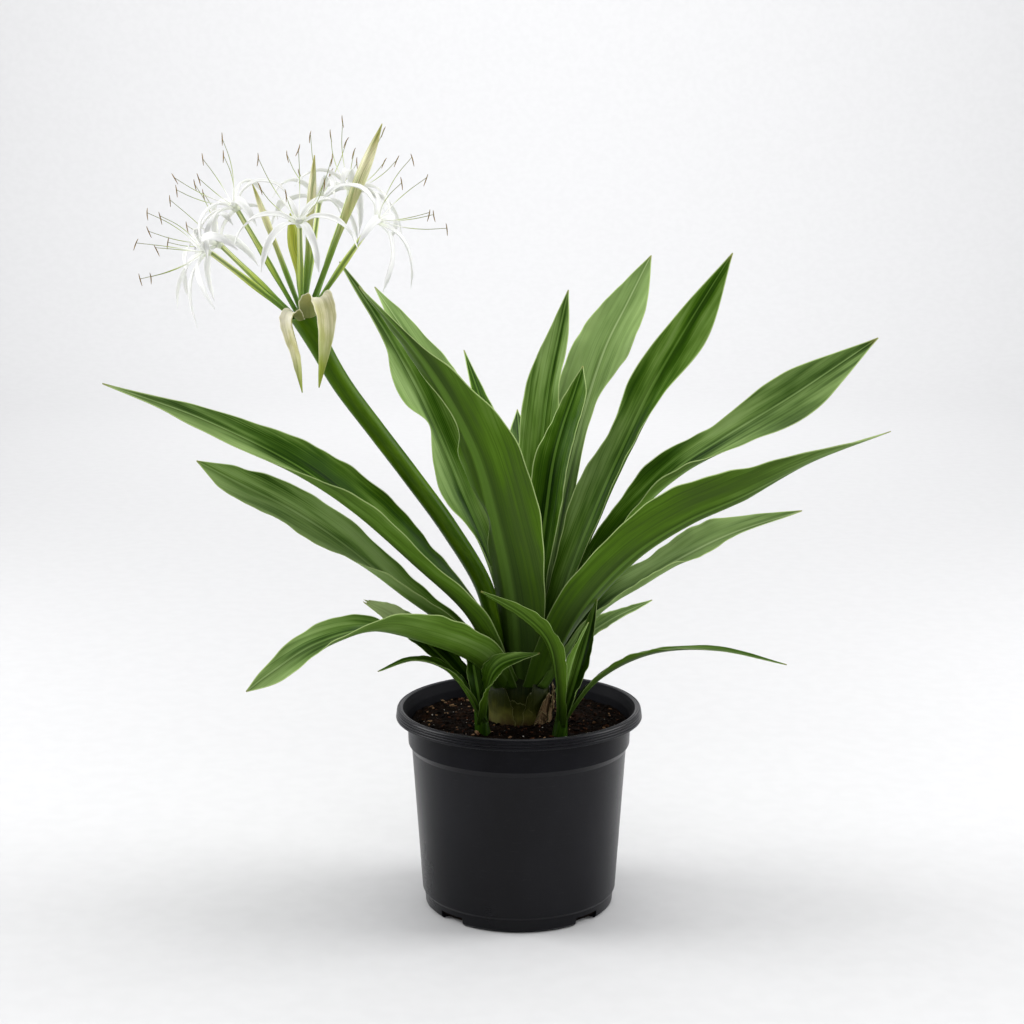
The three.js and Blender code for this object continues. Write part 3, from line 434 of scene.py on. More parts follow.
def two_faced(upper, lower):
    """A row for each vertex of a blade: each ring of its upper face and then of its lower face backwards."""
    rings = np.concatenate([upper, lower[:, ::-1]], axis=1)
    return rings.reshape(-1, 3) if rings.ndim == 3 else rings.ravel()


def on_both(layers):
    return {key: two_faced(values, values) for key, values in layers.items()}


def spread(centre, across, x, up, y):
    """Points at x along across and y along up from each ring's centre."""
    return centre[:, None] + across[:, None] * x[..., None] + up[:, None] * y[..., None]


def lathe_rings(profile, sides, shape=None):
    """Rings of a turned form from (radius, height) pairs."""
    profile = np.asarray(profile, float)
    angle = circle(sides)
    radius = profile[:, :1] * np.ones(sides)
    height = profile[:, 1:] * np.ones(sides)
    if shape is not None:
        radius = radius * shape(angle[None, :], height)
    return np.stack([radius * np.cos(angle), radius * np.sin(angle), height], axis=-1)


def tube_rings(points, radii, steps, sides, shape=None):
    """Rings of a round stem through points, with radii from its start to its end."""
    t = np.linspace(0, 1, steps + 1)
    centre, tangent = curve(points, t), tangents(points, t)
    reference = np.array([0.0, 1, 0]) if abs(tangent[0][2]) > 0.7 else np.array([0.0, 0, 1])
    across = unit(np.cross(tangent, reference))
    angle = circle(sides)
    radius = along(radii, t)[:, None] * np.ones(sides)
    if shape is not None:
        radius = radius * shape(angle[None, :], t[:, None])
    verts = spread(centre, across, radius * np.cos(angle), np.cross(tangent, across), radius * np.sin(angle))
    run = arc_lengths(centre)[:, None] + 0 * radius
    layers = {
        "blade": np.stack([radius * angle, run, 0 * run], axis=-1).reshape(-1, 3),
        "share": (t[:, None] + 0 * radius).ravel(),
    }
    return verts.reshape(-1, 3), ring_faces(steps + 1, sides), layers


# Materials. They read these layers: blade (millimetres across and along a piece, and a number for it),
# share (the way from its foot to its tip), edge (millimetres from its edge) and others of their own.


class Shader:
    """Builds one procedural material."""

    def __init__(self, name):
        self.material = bpy.data.materials.new(name)
        self.material.use_nodes = True
        self.tree = self.material.node_tree
        self.skin = self.tree.nodes["Principled BSDF"]

    def feed(self, node, inputs):
        """Links an output to each input that's given one, and sets the others."""
        for key, value in inputs.items():
            if hasattr(value, "is_output"):
                self.tree.links.new(value, node.inputs[key])
            else:
                node.inputs[key].default_value = value

    def node(self, kind, inputs, output, **settings):
        made = self.tree.nodes.new("ShaderNode" + kind)
        for key, value in settings.items():
            setattr(made, key, value)
        self.feed(made, inputs)
        return made.outputs[output]

    def layer(self, name, output="Fac"):
        return self.node("Attribute", {}, output, attribute_name=name)

    def place(self):
        return self.node("TexCoord", {}, "Object")

    def add(self, a, b):
        return self.node("Math", {0: a, 1: b}, 0, operation="ADD")

    def minus(self, a, b):
        return self.node("Math", {0: a, 1: b}, 0, operation="SUBTRACT")

    def times(self, a, b):
        return self.node("Math", {0: a, 1: b}, 0, operation="MULTIPLY")

    def scaled(self, vector, scale):
        return self.node("VectorMath", {0: vector, 1: scale}, 0, operation="MULTIPLY")

    def noise(self, vector, scale, detail, roughness=0.55):
        inputs = {"Vector": vector, "Scale": scale, "Detail": detail, "Roughness": roughness}
        return self.node("TexNoise", inputs, "Fac")

    def streaks(self, across, lengthwise, detail=2):
        """Noise that's drawn out along a piece, with a scale across it and one along it."""
        return self.noise(self.scaled(self.layer("blade", "Vector"), (across, lengthwise, 1)), 1.0, detail)

    def cells(self, vector, scale):
        return self.node("TexVoronoi", {"Vector": vector, "Scale": scale}, "Distance")

    def span(self, value, low, high, to_low=0.0, to_high=1.0):
        """A smooth change from to_low to to_high as value goes from low to high."""
        inputs = {"Value": value, "From Min": low, "From Max": high, "To Min": to_low, "To Max": to_high}
        return self.node("MapRange", inputs, "Result", interpolation_type="SMOOTHSTEP")

    def ramp(self, value, *stops):
        color = self.node("ValToRGB", {"Fac": value}, "Color")
        points = color.node.color_ramp.elements
        while len(points) < len(stops):
            points.new(0.5)
        for point, (place, shade) in zip(points, stops):
            point.position = place
            point.color = (*shade, 1)
        return color

    def mix(self, share, a, b):
        made = self.tree.nodes.new("ShaderNodeMix")
        made.data_type = "RGBA"
        colors = {n: (*v, 1) if isinstance(v, tuple) else v for n, v in ((6, a), (7, b))}
        self.feed(made, {0: share, **colors})
        return made.outputs[2]

    def bump(self, height, strength, distance, before=None):
        inputs = {"Height": height, "Strength": strength, "Distance": distance}
        if before is not None:
            inputs["Normal"] = before
        return self.node("Bump", inputs, "Normal")

    def coat(self, over, share, *change):
        """Lays a color over the one so far, by a share or by what span makes of it."""
        self.color = self.mix(self.span(share, *change) if change else share, self.color, over)

    def finish(self, roughness, normal=None, gloss=0.5, glow=None):
        """Feeds the skin. glow is how much light it scatters inside, how far (in metres) and in which colors."""
        inputs = {"Base Color": self.color, "Roughness": roughness, "Specular IOR Level": gloss}
        if normal is not None:
            inputs["Normal"] = normal
        if glow:
            inputs |= zip(("Subsurface Weight", "Subsurface Scale", "Subsurface Radius"), glow)
        self.feed(self.skin, inputs)
        return self.material


def leaf_material(name, deep, mid, light, below, shade, margin):
    """A satin strap leaf: parallel veins, broad bands along it, a pale margin and a duller underside.

    Over the greens, painted darker near the rib for the shade in its channel, lie, in this order, a grey-green
    bloom that also paints sheen in patches and on lit halves, a torn end, pale and dark veins, the rib and the
    painted shadows beside it, the margin, the painted shade at the foot and a brown tip.
    """
    m = Shader(name)
    veins = m.streaks(1.1, 0.005)
    bands = m.streaks(0.16, 0.004)
    mottle = m.streaks(0.045, 0.007, 3)
    rib, edge, share, pale, under = (m.layer(key) for key in ("rib", "edge", "share", "pale", "under"))
    tone = m.add(m.times(bands, 0.18), m.times(mottle, 0.52))
    tone = m.add(tone, m.times(veins, 0.14))
    # painted shade: the tone is darker near the rib, in the leaf's channel
    tone = m.add(tone, m.span(rib, 1.5, 9.0, 0.05, 0.10))
    tone = m.add(tone, m.layer("tint"))
    upper = m.ramp(tone, (0.40, deep), (0.50, mid), (0.61, light))
    lower = m.mix(m.span(tone, 0.4, 0.6), below, light)
    m.color = m.mix(under, upper, lower)
    # grey-green bloom: partly the leaf's own bloom, partly painted sheen in patches and on lit halves
    bloom = m.add(pale, m.times(m.minus(tone, 0.5), 2.6))
    bloom_and_sheen_green = m.ramp(tone, (0.40, (0.120, 0.200, 0.050)), (0.50, (0.205, 0.310, 0.098)),
                    (0.61, (0.300, 0.420, 0.155)))
    bloom_and_sheen_share = m.span(bloom, 0.05, 0.95, 0, 0.85)
    m.coat(bloom_and_sheen_green, bloom_and_sheen_share)
    m.coat((0.52, 0.62, 0.30), pale, 0.96, 1.08, 0, 0.85)
    m.coat((0.12, 0.22, 0.015), veins, 0.50, 0.64, 0, 0.12)
    m.coat(tuple(0.45 * c for c in deep), veins, 0.46, 0.34, 0, 0.16)
    ridge = m.mix(bloom_and_sheen_share, (0.115, 0.225, 0.030), (0.42, 0.52, 0.25))
    m.coat(ridge, rib, 0.6, 1.05, 0.6, 0)
    flank = m.minus(m.span(rib, 0.95, 1.4), m.span(rib, 1.5, 4.0))
    shadow = m.mix(bloom_and_sheen_share, tuple(0.6 * c for c in deep), (0.09, 0.15, 0.035))
    m.coat(shadow, m.times(flank, 0.3))
    hem = m.times(m.span(edge, 0.5 * margin, 1.3 * margin, 0.4 + 0.5 * margin, 0), m.span(share, 0.03, 0.25, 0.3, 1))
    m.coat((0.40, 0.52, 0.20), hem)
    # painted shade darkens the foot of each blade
    m.coat(tuple(0.55 * c for c in deep), share, 0.02, 0.30, shade, 0)
    m.coat((0.22, 0.18, 0.05), share, 0.975, 1.0, 0, 0.6)
    rough = m.add(m.span(tone, 0.4, 0.6, 0.34, 0.46), m.times(under, 0.12))
    return m.finish(rough, m.bump(veins, 0.3, 0.0004), gloss=0.07)


def stalk_material():
    """The satin skin of the stalk: fine lines along it and a soft bloom of grey-green."""
    m = Shader("stalk_skin")
    lines = m.streaks(1.2, 0.01)
    cloud = m.streaks(0.12, 0.02, 4)
    bloom = (0.098, 0.190, 0.003)
    m.color = m.mix(m.layer("share"), (0.017, 0.052, 0.0006), (0.044, 0.104, 0.0006))
    m.coat(bloom, cloud, 0.4, 0.7, 0, 0.5)
    m.coat(bloom, lines, 0.45, 0.65, 0, 0.25)
    rough = m.span(cloud, 0.3, 0.7, 0.34, 0.46)
    return m.finish(rough, m.bump(lines, 0.35, 0.0004), gloss=0.1)


def tube_material():
    """Flower tubes and buds: deep green at the foot, pale yellow-green towards the flower, with stripes of painted
    shade along them.
    """
    m = Shader("tube_skin")
    lines = m.streaks(1.6, 0.02)
    share = m.add(m.layer("share"), m.times(lines, 0.12))
    foot = (0.04, 0.13, 0.004)
    tube = m.ramp(share, (0.05, foot), (0.32, (0.16, 0.30, 0.01)), (0.64, (0.54, 0.64, 0.11)),
                  (1.0, (0.74, 0.78, 0.36)))
    bud = m.ramp(share, (0.05, foot), (0.4, (0.16, 0.27, 0.02)), (0.62, (0.50, 0.50, 0.20)),
                 (0.9, (0.72, 0.68, 0.42)), (1.0, (0.38, 0.35, 0.10)))
    m.color = m.mix(m.layer("bud"), tube, bud)
    m.coat((0.42, 0.46, 0.03), m.times(m.layer("green"), m.span(share, 0.3, 0.6)))
    m.coat((0.09, 0.18, 0.01), lines, 0.50, 0.36, 0, 0.6)
    # painted shade: darker stripes where ridge is low, as grooves between lit ridges
    m.coat((0.065, 0.15, 0.006), m.layer("ridge"), 0.75, 0.2, 0, 0.75)
    return m.finish(m.span(lines, 0.3, 0.7, 0.4, 0.52), m.bump(lines, 0.3, 0.0003),
                    glow=(0.15, 0.003, (0.7, 1.0, 0.3)))


def petal_material():
    """White tepals with faint long veins, a green-tinted root and a soft sheen."""
    m = Shader("petal_skin")
    veins = m.streaks(1.8, 0.02)
    m.color = m.mix(m.span(veins, 0.4, 0.65, 0, 0.6), (0.71, 0.71, 0.695), (0.60, 0.615, 0.58))
    m.coat((0.70, 0.78, 0.46), m.layer("share"), 0.0, 0.16, 0.5, 0)
    return m.finish(m.span(veins, 0.3, 0.7, 0.42, 0.55), m.bump(veins, 0.4, 0.0003),
                    glow=(0.35, 0.004, (1.0, 1.0, 0.9)))


def stamen_material():
    """Filaments that turn from white to olive outwards, with yellow-brown anthers."""
    m = Shader("stamen_skin")
    grain = m.noise(m.place(), 900.0, 3)
    thread = m.ramp(m.layer("share"), (0.30, (0.86, 0.87, 0.80)), (0.50, (0.42, 0.50, 0.14)),
                    (0.70, (0.19, 0.25, 0.03)), (1.0, (0.13, 0.14, 0.015)))
    anther = m.mix(m.span(grain, 0.35, 0.65), (0.10, 0.055, 0.006), (0.28, 0.17, 0.02))
    m.color = m.mix(m.layer("anther"), thread, anther)
    return m.finish(0.6, m.bump(grain, 0.4, 0.0003))


def bract_material():
    """Withered bracts: cream and tan paper with olive veins, tips and undersides, the undersides painted darker at
    the foot for shade.
    """
    m = Shader("bract_skin")
    veins = m.streaks(0.9, 0.012, 3)
    patch = m.streaks(0.10, 0.035, 4)
    share = m.layer("share")
    m.color = m.mix(m.span(patch, 0.38, 0.66), (0.70, 0.67, 0.43), (0.49, 0.475, 0.215))
    m.coat((0.27, 0.28, 0.075), veins, 0.47, 0.60, 0, 0.35)
    m.coat((0.76, 0.72, 0.62), share, 0.42, 0.64, 0.65, 0)
    # painted shade: the underside darkens towards its foot
    hood = m.ramp(share, (0.15, (0.13, 0.16, 0.015)), (0.38, (0.34, 0.34, 0.075)))
    m.coat(hood, m.times(m.layer("under"), 0.9))
    m.coat((0.78, 0.75, 0.55), m.layer("edge"), 0.4, 1.5, 0.7, 0)
    m.coat((0.215, 0.28, 0.014), share, 0.68, 0.96, 0, 0.9)
    normal = m.bump(patch, 0.5, 0.002, m.bump(veins, 0.7, 0.0008))
    return m.finish(m.span(patch, 0.3, 0.7, 0.55, 0.75), normal, gloss=0.15,
                    glow=(0.08, 0.002, (1.0, 0.9, 0.5)))


def neck_material():
    """The neck: green sheaths above, painted darker upwards for the shade under the leaves, cream-green below, fine
    upright veins and papery brown rags.
    """
    m = Shader("neck_sheath")
    veins = m.streaks(0.8, 0.02, 3)
    cloud = m.streaks(0.06, 0.05, 4)
    rise = m.add(m.layer("share"), m.times(m.minus(cloud, 0.5), 0.5))
    # painted shade: the sheaths turn near black towards the top, under the leaves
    m.color = m.ramp(rise, (0.05, (0.030, 0.016, 0.006)), (0.22, (0.066, 0.066, 0.012)),
                     (0.42, (0.017, 0.021, 0.001)), (0.7, (0.004, 0.009, 0.0004)))
    m.coat((0.032, 0.036, 0.006), veins, 0.45, 0.65, 0, 0.25)
    rag = m.ramp(veins, (0.35, (0.020, 0.010, 0.004)), (0.75, (0.21, 0.14, 0.07)))
    m.coat(rag, m.layer("dry"))
    m.coat((0.26, 0.27, 0.11), m.layer("edge"), 0.3, 1.0, 0.3, 0)
    return m.finish(m.span(cloud, 0.3, 0.7, 0.42, 0.65), m.bump(veins, 0.6, 0.0008), gloss=0.1)


def plastic_material(name, dull, gloss):
    """Matte black moulded plastic: a fine pebbled skin and faint scuffs."""
    m = Shader(name)
    place = m.place()
    pebble = m.noise(place, 1400.0, 2)
    cloud = m.noise(m.scaled(place, (1, 1, 0.4)), 14.0, 3)
    scuff = m.noise(m.scaled(place, (1, 1, 9)), 60.0, 3, 0.7)
    m.color = m.mix(m.span(cloud, 0.35, 0.7), (0.0028, 0.0028, 0.0042), (0.0052, 0.0053, 0.0075))
    m.coat((0.030, 0.030, 0.033), scuff, 0.60, 0.78, 0, 0.3)
    m.coat((0.020, 0.020, 0.022), pebble, 0.55, 0.75, 0, 0.25)
    rough = m.add(m.span(cloud, 0.3, 0.7, dull, dull + 0.08), m.span(scuff, 0.55, 0.8, 0, 0.12))
    normal = m.bump(cloud, 0.15, 0.003, m.bump(pebble, 0.22, 0.0004))
    return m.finish(rough, normal, gloss=gloss)


def soil_material():
    """Damp peat: nearly black crumbs with red-brown fibre."""
    m = Shader("peat")
    place = m.place()
    crumb = m.cells(place, 260.0)
    fibre = m.noise(place, 420.0, 3, 0.7)
    patch = m.noise(place, 45.0, 2)
    m.color = m.mix(m.span(fibre, 0.35, 0.7), (0.0012, 0.0008, 0.0005), (0.008, 0.004, 0.002))
    m.coat((0.018, 0.007, 0.003), patch, 0.5, 0.75, 0, 0.6)
    normal = m.bump(fibre, 0.8, 0.001, m.bump(crumb, 0.8, 0.0015))
    return m.finish(m.span(fibre, 0.3, 0.7, 0.75, 0.95), normal, gloss=0.03)


def chip_material():
    """Bark and fibre chips of several browns."""
    m = Shader("bark_chips")
    grain = m.noise(m.scaled(m.place(), (1, 1, 3)), 500.0, 4, 0.65)
    m.color = m.ramp(m.layer("tone"), (0.0, (0.0015, 0.001, 0.0007)), (0.50, (0.006, 0.003, 0.0015)),
                     (0.78, (0.060, 0.020, 0.008)), (1.0, (0.32, 0.20, 0.11)))
    m.coat((0.004, 0.002, 0.001), grain, 0.4, 0.65, 0, 0.7)
    return m.finish(m.span(grain, 0.3, 0.7, 0.7, 0.9), m.bump(grain, 0.8, 0.001), gloss=0.05)


def perlite_material():
    """White perlite grains, pitted and a little soiled."""
    m = Shader("perlite")
    place = m.place()
    pits = m.cells(place, 900.0)
    soil = m.noise(place, 300.0, 3)
    m.color = m.mix(m.span(soil, 0.45, 0.7), (0.46, 0.44, 0.40), (0.16, 0.12, 0.09))
    return m.finish(m.span(pits, 0.1, 0.6, 0.75, 0.9), m.bump(pits, 0.7, 0.0006))


def floor_material():
    """A pale painted floor with the faintest grain."""
    m = Shader("studio_floor")
    grain = m.noise(m.place(), 40.0, 1)
    m.color = m.mix(m.span(grain, 0.3, 0.7), (0.582, 0.582, 0.587), (0.594, 0.594, 0.599))
    return m.finish(m.span(grain, 0.3, 0.7, 0.75, 0.85), gloss=0.0)


# Leaves

EDGE_CROWDING = 1.15  # draws the strips towards the edges
NARROW = 14  # pleats and flutter fade where a half is narrower than this
RIB_GROOVE = 0.12
RIB_SHARE = 0.12  # how much of each half is thicker, over the rib


def blade_sections(leaf, steps, strips, seed, pleat, flutter, edge=0.3, thick=1.1):
    """Vertices, faces and layers of a channelled, rolled and wavy blade with a torn end, if it has one.

    pleat and flutter are heights of the folds along it and of its wavy hem. edge and thick are the half
    thickness at its edge and at its rib.
    """
    t = np.linspace(0, 1, steps + 1)
    s = np.linspace(-1, 1, strips + 1)
    s = np.sign(s) * (1 - (1 - np.abs(s)) ** EDGE_CROWDING)
    down = t[:, None]
    half = (s > 0).astype(int)

    def halves(lines):
        return np.stack(lines)[half].T

    point, tangent = curve(leaf["spine"], t), tangents(leaf["spine"], t)
    heading = math.radians(leaf["heading"])
    level = np.array([-math.sin(heading), math.cos(heading), 0])
    side = unit(level - tangent * (tangent @ level)[:, None])
    up = np.cross(tangent, side)
    turn = np.radians(along(leaf["roll"], t))[:, None]
    across = side * np.cos(turn) + up * np.sin(turn)
    normal = up * np.cos(turn) - side * np.sin(turn)

    reach = halves([np.maximum(along(line, t), TIP) for line in leaf["widths"]])
    fold = halves([np.radians(along(line, t)) for line in leaf["folds"]])
    swell = np.sin(math.pi * t)
    ripple = halves([h * np.sin(TURN * (c * t + start)) * swell for c, h, start in leaf["waves"]])
    x = reach * np.sin(fold * s) / fold
    rise = reach * (1 - np.cos(fold * s)) / fold + ripple * s * s
    fade = np.minimum(1, reach / NARROW) * swell[:, None] ** 0.5
    drift = wobble(seed + 5, t * 0.8, 3)[:, None]
    rise += pleat * fade * (np.cos(5.2 * s + 2 * drift) + 0.5 * np.cos(11 * s + 3 * drift + seed)) * (1 - s * s)
    band = leaf["band"] * np.clip(1.3 - down, 0.3, 1)
    from_rib = np.abs(reach * s) / band
    rise -= RIB_GROOVE * band * fade * np.exp(-from_rib ** 4)
    hem = halves([wobble(seed * 3 + k, t * 2.2, 7) for k in (1, 2)])
    rise += flutter * hem * fade * s ** 4
    thickness = edge + (thick - edge) * (1 - s * s) * (1 - down)
    thickness = thickness * np.where(np.abs(s) > 0.999, 0.45, 1)
    thickness = thickness * np.where(np.abs(s) < RIB_SHARE, 1 + 0.5 * np.cos(s / RIB_SHARE * math.pi / 2), 1)

    torn = leaf.get("torn", 0)
    ragged = np.clip(down * 5 - 4, 0, 1) * torn * (0.5 + 0.35 * np.sin(7 * s + 1) + 0.15 * np.sin(23 * s))
    centre = spread(point, across, x, normal, rise) - tangent[:, None] * ragged[..., None]
    lean = normal[:, None] * np.cos(fold * s)[..., None] - across[:, None] * np.sin(fold * s)[..., None]
    lean = lean * thickness[..., None]
    # pale carries each half's grey-green bloom with its painted sheen and light, and the pale torn end
    left, right = (np.interp(t, np.linspace(0, 1, len(line)), line)[:, None] for line in leaf["pale"])
    frayed = (torn > 0) * np.clip(down * 5 - 2.7, 0, 1)
    run = arc_lengths(point)[:, None] + 0 * x
    layers = {
        "blade": np.stack([reach * s, run, np.full_like(x, 17.3 * seed)], axis=-1),
        "edge": reach * (1 - np.abs(s)) * (1 - frayed) + 0.5 * frayed,
        "rib": from_rib,
        "share": down + 0 * x,
        "pale": left + (right - left) * np.clip(0.5 + 4 * s, 0, 1) + frayed,
        "tint": 0 * x + leaf["tint"],
    }
    layers = on_both(layers)
    layers["under"] = two_faced(0 * x, 0 * x + 1)
    return two_faced(centre + lean, centre - lean), blade_faces(steps + 1, strips + 1), layers


def make_leaves(material):
    for number, row in enumerate(LEAF_ROWS):
        leaf = dict(zip(LEAF_KEYS, row))
        blade = blade_sections(leaf, *LEAF_GRID, number + 1, pleat=0.35, flutter=2.2)
        show(leaf["name"] + "_blade", "leaf_green", leaf["name"], material, *blade)


def make_pups(material):
    for number, (name, tint, stem, rows) in enumerate(PUP_ROWS):
        batch = Batch()
        verts, faces, layers = tube_rings(stem, [9, 8, 5], 10, 20)
        # the stem keeps a low share, so the painted shade at the foot darkens all of it
        layers["share"] *= 0.25
        batch.add(verts, faces, layers | even(verts, edge=FAR, rib=FAR, under=0, pale=0, tint=0))
        for k, row in enumerate(rows):
            leaf = {**PUP_LEAF, **dict(zip(PUP_KEYS, row)), "tint": tint}
            leaf["widths"] = [[share * leaf["width"] for share in leaf["outline"]]] * 2
            batch.add(*blade_sections(leaf, *PUP_GRID, 40 + 5 * number + k, pleat=0.2, flutter=2.0))
        dress(batch.build(name + "_shoot", [material]), "pup_green", name)


def make_bracts(material):
    for number, row in enumerate(BRACT_ROWS):
        bract = {**BRACT, **dict(zip(BRACT_KEYS, row))}
        blade = blade_sections(bract, *BRACT_GRID, 70 + number, pleat=0.5, flutter=1.4, edge=0.25, thick=0.6)
        show(bract["name"] + "_sheath", "bract_cream", bract["name"], material, *blade)


# Stalk and neck


def make_scape(material):
    def uneven(angle, t):
        return 1 + 0.02 * np.sin(2 * angle + 3 * t) + 0.012 * np.sin(5 * angle + 7 * t)

    show("scape_stalk", "scape_green", "scape", material, *tube_rings(SCAPE_SPINE, SCAPE_RADII, *SCAPE_GRID, uneven))


def split_profile(profile, pieces):
    """A profile with each straight stretch split into pieces."""
    profile = np.asarray(profile, float)
    last = len(profile) - 1
    t = np.linspace(0, 1, last * pieces + 1) * last
    return np.stack([np.interp(t, np.arange(last + 1), profile[:, k]) for k in (0, 1)], axis=1)


def neck_layers(angle, height, dry, edge, number):
    """Layers of the neck and of its sheaths, which take their share from the height above the soil."""
    return {
        "blade": np.stack([VEIN_RADIUS * angle + 0 * height, height, 0 * height + 5 * number], axis=-1),
        "share": np.clip((height - SOIL_EDGE) / (NECK_TOP - SOIL_EDGE), 0, 1),
        "dry": 0 * height + dry,
        "edge": 0 * height + edge,
    }


def make_neck(material):
    batch = Batch()
    rings = lathe_rings(split_profile(NECK_PROFILE, 6), NECK_SIDES, lambda a, z: 1 + 0.012 * np.sin(5 * a + z * 0.05))
    layers = neck_layers(circle(NECK_SIDES), rings[..., 2], 0, FAR, 0)
    layers = {key: v.reshape(-1, 3) if v.ndim == 3 else v.ravel() for key, v in layers.items()}
    batch.add(rings, ring_faces(len(rings), NECK_SIDES), layers)
    wall = np.array(NECK_PROFILE[3:-2])
    rows, columns = SHEATH_GRID
    u = np.linspace(-1, 1, columns + 1)
    v = np.linspace(0, 1, rows + 1)[:, None]
    for number, (middle, width, top, off, dry) in enumerate(SHEATHS):
        crest = SHEATH_FOOT + (top - SHEATH_FOOT) * (1 - 0.45 * u * u + 0.05 * wobble(number + 60, u * 1.6, 6))
        z = SHEATH_FOOT + (crest - SHEATH_FOOT) * v
        a = np.radians(middle + width * u * (1 - 0.18 * v) + 2 * wobble(number + 80, v * 2, 4))
        lift = off + (0.8 + 3.0 * dry) * v ** 3 * (0.6 + 0.5 * np.abs(u)) + 0.5 * dry * wobble(number + 90, u * 3 + v)
        outer = np.interp(z, wall[:, 1], wall[:, 0]) + lift
        faces = [np.stack([r * np.cos(a), r * np.sin(a), z], axis=-1) for r in (outer, outer - SHEATH_THICKNESS)]
        edge = np.minimum(crest - z, VEIN_RADIUS * np.radians(width) * (1 - np.abs(u))) + 0.25
        layers = on_both(neck_layers(a, z, dry, edge, number))
        batch.add(two_faced(*faces), blade_faces(rows + 1, columns + 1), layers)
    dress(batch.build("neck_sheaths", [material]), "neck_skin", "bulb_neck")


# Pot


def eased(profile, radius, pieces=5):
    """A profile with its corners rounded."""
    profile = [np.asarray(p, float) for p in profile]
    out = [profile[0]]
    for before, corner, after in zip(profile, profile[1:], profile[2:]):
        a, b = before - corner, after - corner
        r = min(radius, 0.45 * np.linalg.norm(a), 0.45 * np.linalg.norm(b))
        start, end = corner + unit(a) * r, corner + unit(b) * r
        out += [arch(start, corner, end, k / pieces) for k in range(pieces + 1)]
    return out + [profile[-1]]


def cut_notches(body, plastic):
    """Cuts the drain notches out of the pot's foot."""
    cutters = Batch()
    x, y, z = (np.array(NOTCH_CORNERS) * (NOTCH_DEPTH / 2, NOTCH_WIDTH / 2, NOTCH_HEIGHT)).T
    x = FOOT_RADIUS + x
    for k in range(NOTCH_COUNT):
        angle = math.pi / 4 + TURN * k / NOTCH_COUNT
        c, s = math.cos(angle), math.sin(angle)
        cutters.add(np.stack([x * c - y * s, x * s + y * c, z], axis=-1), BOX_FACES)
    cutter = cutters.build("notches", [plastic], smooth=False)
    cut = body.modifiers.new("notches", "BOOLEAN")
    cut.operation, cut.object, cut.solver = "DIFFERENCE", cutter, "EXACT"
    graph = bpy.context.evaluated_depsgraph_get()
    made = bpy.data.meshes.new_from_object(body.evaluated_get(graph))
    body.modifiers.clear()
    body.data = made
    bpy.data.objects.remove(cutter)


def make_pot(materials):
    rim = [[RIM_RADIUS - inset, POT_HEIGHT - drop] for inset, drop in RIM_PROFILE]
    profile = np.array(eased(POT_OUTER + rim + POT_INNER, CORNER_RADIUS))
    profile[0][0] = profile[-1][0] = AXIS_RADIUS
    rings = lathe_rings(profile, POT_SIDES)
    faces = ring_faces(len(rings), POT_SIDES)
    body = make_object("pot_shell", rings.reshape(-1, 3), faces, materials, smooth=False)
    cut_notches(body, materials[0])
    # faces inside the mouth take the duller, less glossy plastic: painted shade for the inside of the pot
    for face in body.data.polygons:
        middle, height = face.center.xy, face.center.z / MM
        if face.normal.xy @ middle < 0 and middle.length < MOUTH_RADIUS * MM:
            face.material_index = 1
        # the band below the rim takes a less glossy plastic: painted shade under the rim
        elif BAND_BOTTOM < height < BAND_TOP:
            face.material_index = 2
    body.data.polygons.foreach_set("use_smooth", [True] * len(body.data.polygons))
    body.data.set_sharp_from_angle(angle=math.radians(CORNER_ANGLE))
    dress(body, "pot_plastic", "pot")


# Soil


def soil_height(x, y):
    r = math.hypot(x, y) / SOIL_REACH
    base = SOIL_EDGE + SOIL_MOUND * (1 - r * r)
    place = Vector((x, y, 0))
    lumps = 2.0 * noise.noise(place * 0.045) + 1.5 * noise.noise(place * 0.13 + Vector((9, 0, 0)))
    crumbs = 1.1 * noise.noise(place * 0.34 + Vector((0, 5, 0))) + 0.6 * noise.noise(place * 0.9)
    return base + lumps + crumbs


def make_soil(material):
    rings, sides = SOIL_GRID

    def around(radius):
        return [(radius * math.cos(a), radius * math.sin(a)) for a in circle(sides)]

    verts = [(0.0, 0.0, soil_height(0, 0))]
    for i in range(1, rings + 1):
        verts += [(x, y, soil_height(x, y)) for x, y in around(SOIL_REACH * i / rings)]
    for radius, height in SOIL_WALL:
        verts += [(x, y, height) for x, y in around(radius)]
    faces = [(0, 1 + k, 1 + (k + 1) % sides) for k in range(sides)]
    skin = ring_faces(rings + len(SOIL_WALL), sides, caps=False)
    faces += [(a + 1, d + 1, c + 1, b + 1) for a, b, c, d in skin]
    faces.append(tuple(range(len(verts) - sides, len(verts)))[::-1])
    show("peat_fill", "potting_mix", "soil", material, verts, faces)


def grain_shape(rng, size, flat, rings, sides):
    """A small irregular lump: a ball whose points are pushed in and out."""
    verts = []
    for i in range(rings + 1):
        polar = math.pi * i / rings
        for a in circle(sides):
            radius = max(math.sin(polar), 0.12) * (1 + rng.uniform(-0.28, 0.28))
            height = math.cos(polar) * (1 + rng.uniform(-0.1, 0.1))
            verts.append((radius * math.cos(a), radius * math.sin(a), height))
    return np.array(verts) * np.array(flat) * size / 2, ring_faces(rings + 1, sides)


def turned(verts, rng, tilt):
    """Points turned a random way and tipped by up to tilt radians."""
    spin, lean, way = rng.uniform(0, TURN), rng.uniform(-tilt, tilt), rng.uniform(0, TURN)

    def upright(angle):
        c, s = math.cos(angle), math.sin(angle)
        return np.array([[c, -s, 0], [s, c, 0], [0, 0, 1]])

    c, s = math.cos(lean), math.sin(lean)
    return verts @ (upright(way) @ np.array([[1, 0, 0], [0, c, -s], [0, s, c]]) @ upright(spin)).T


GRAIN_TILT = 0.7
GRAIN_LIFT = 0.25


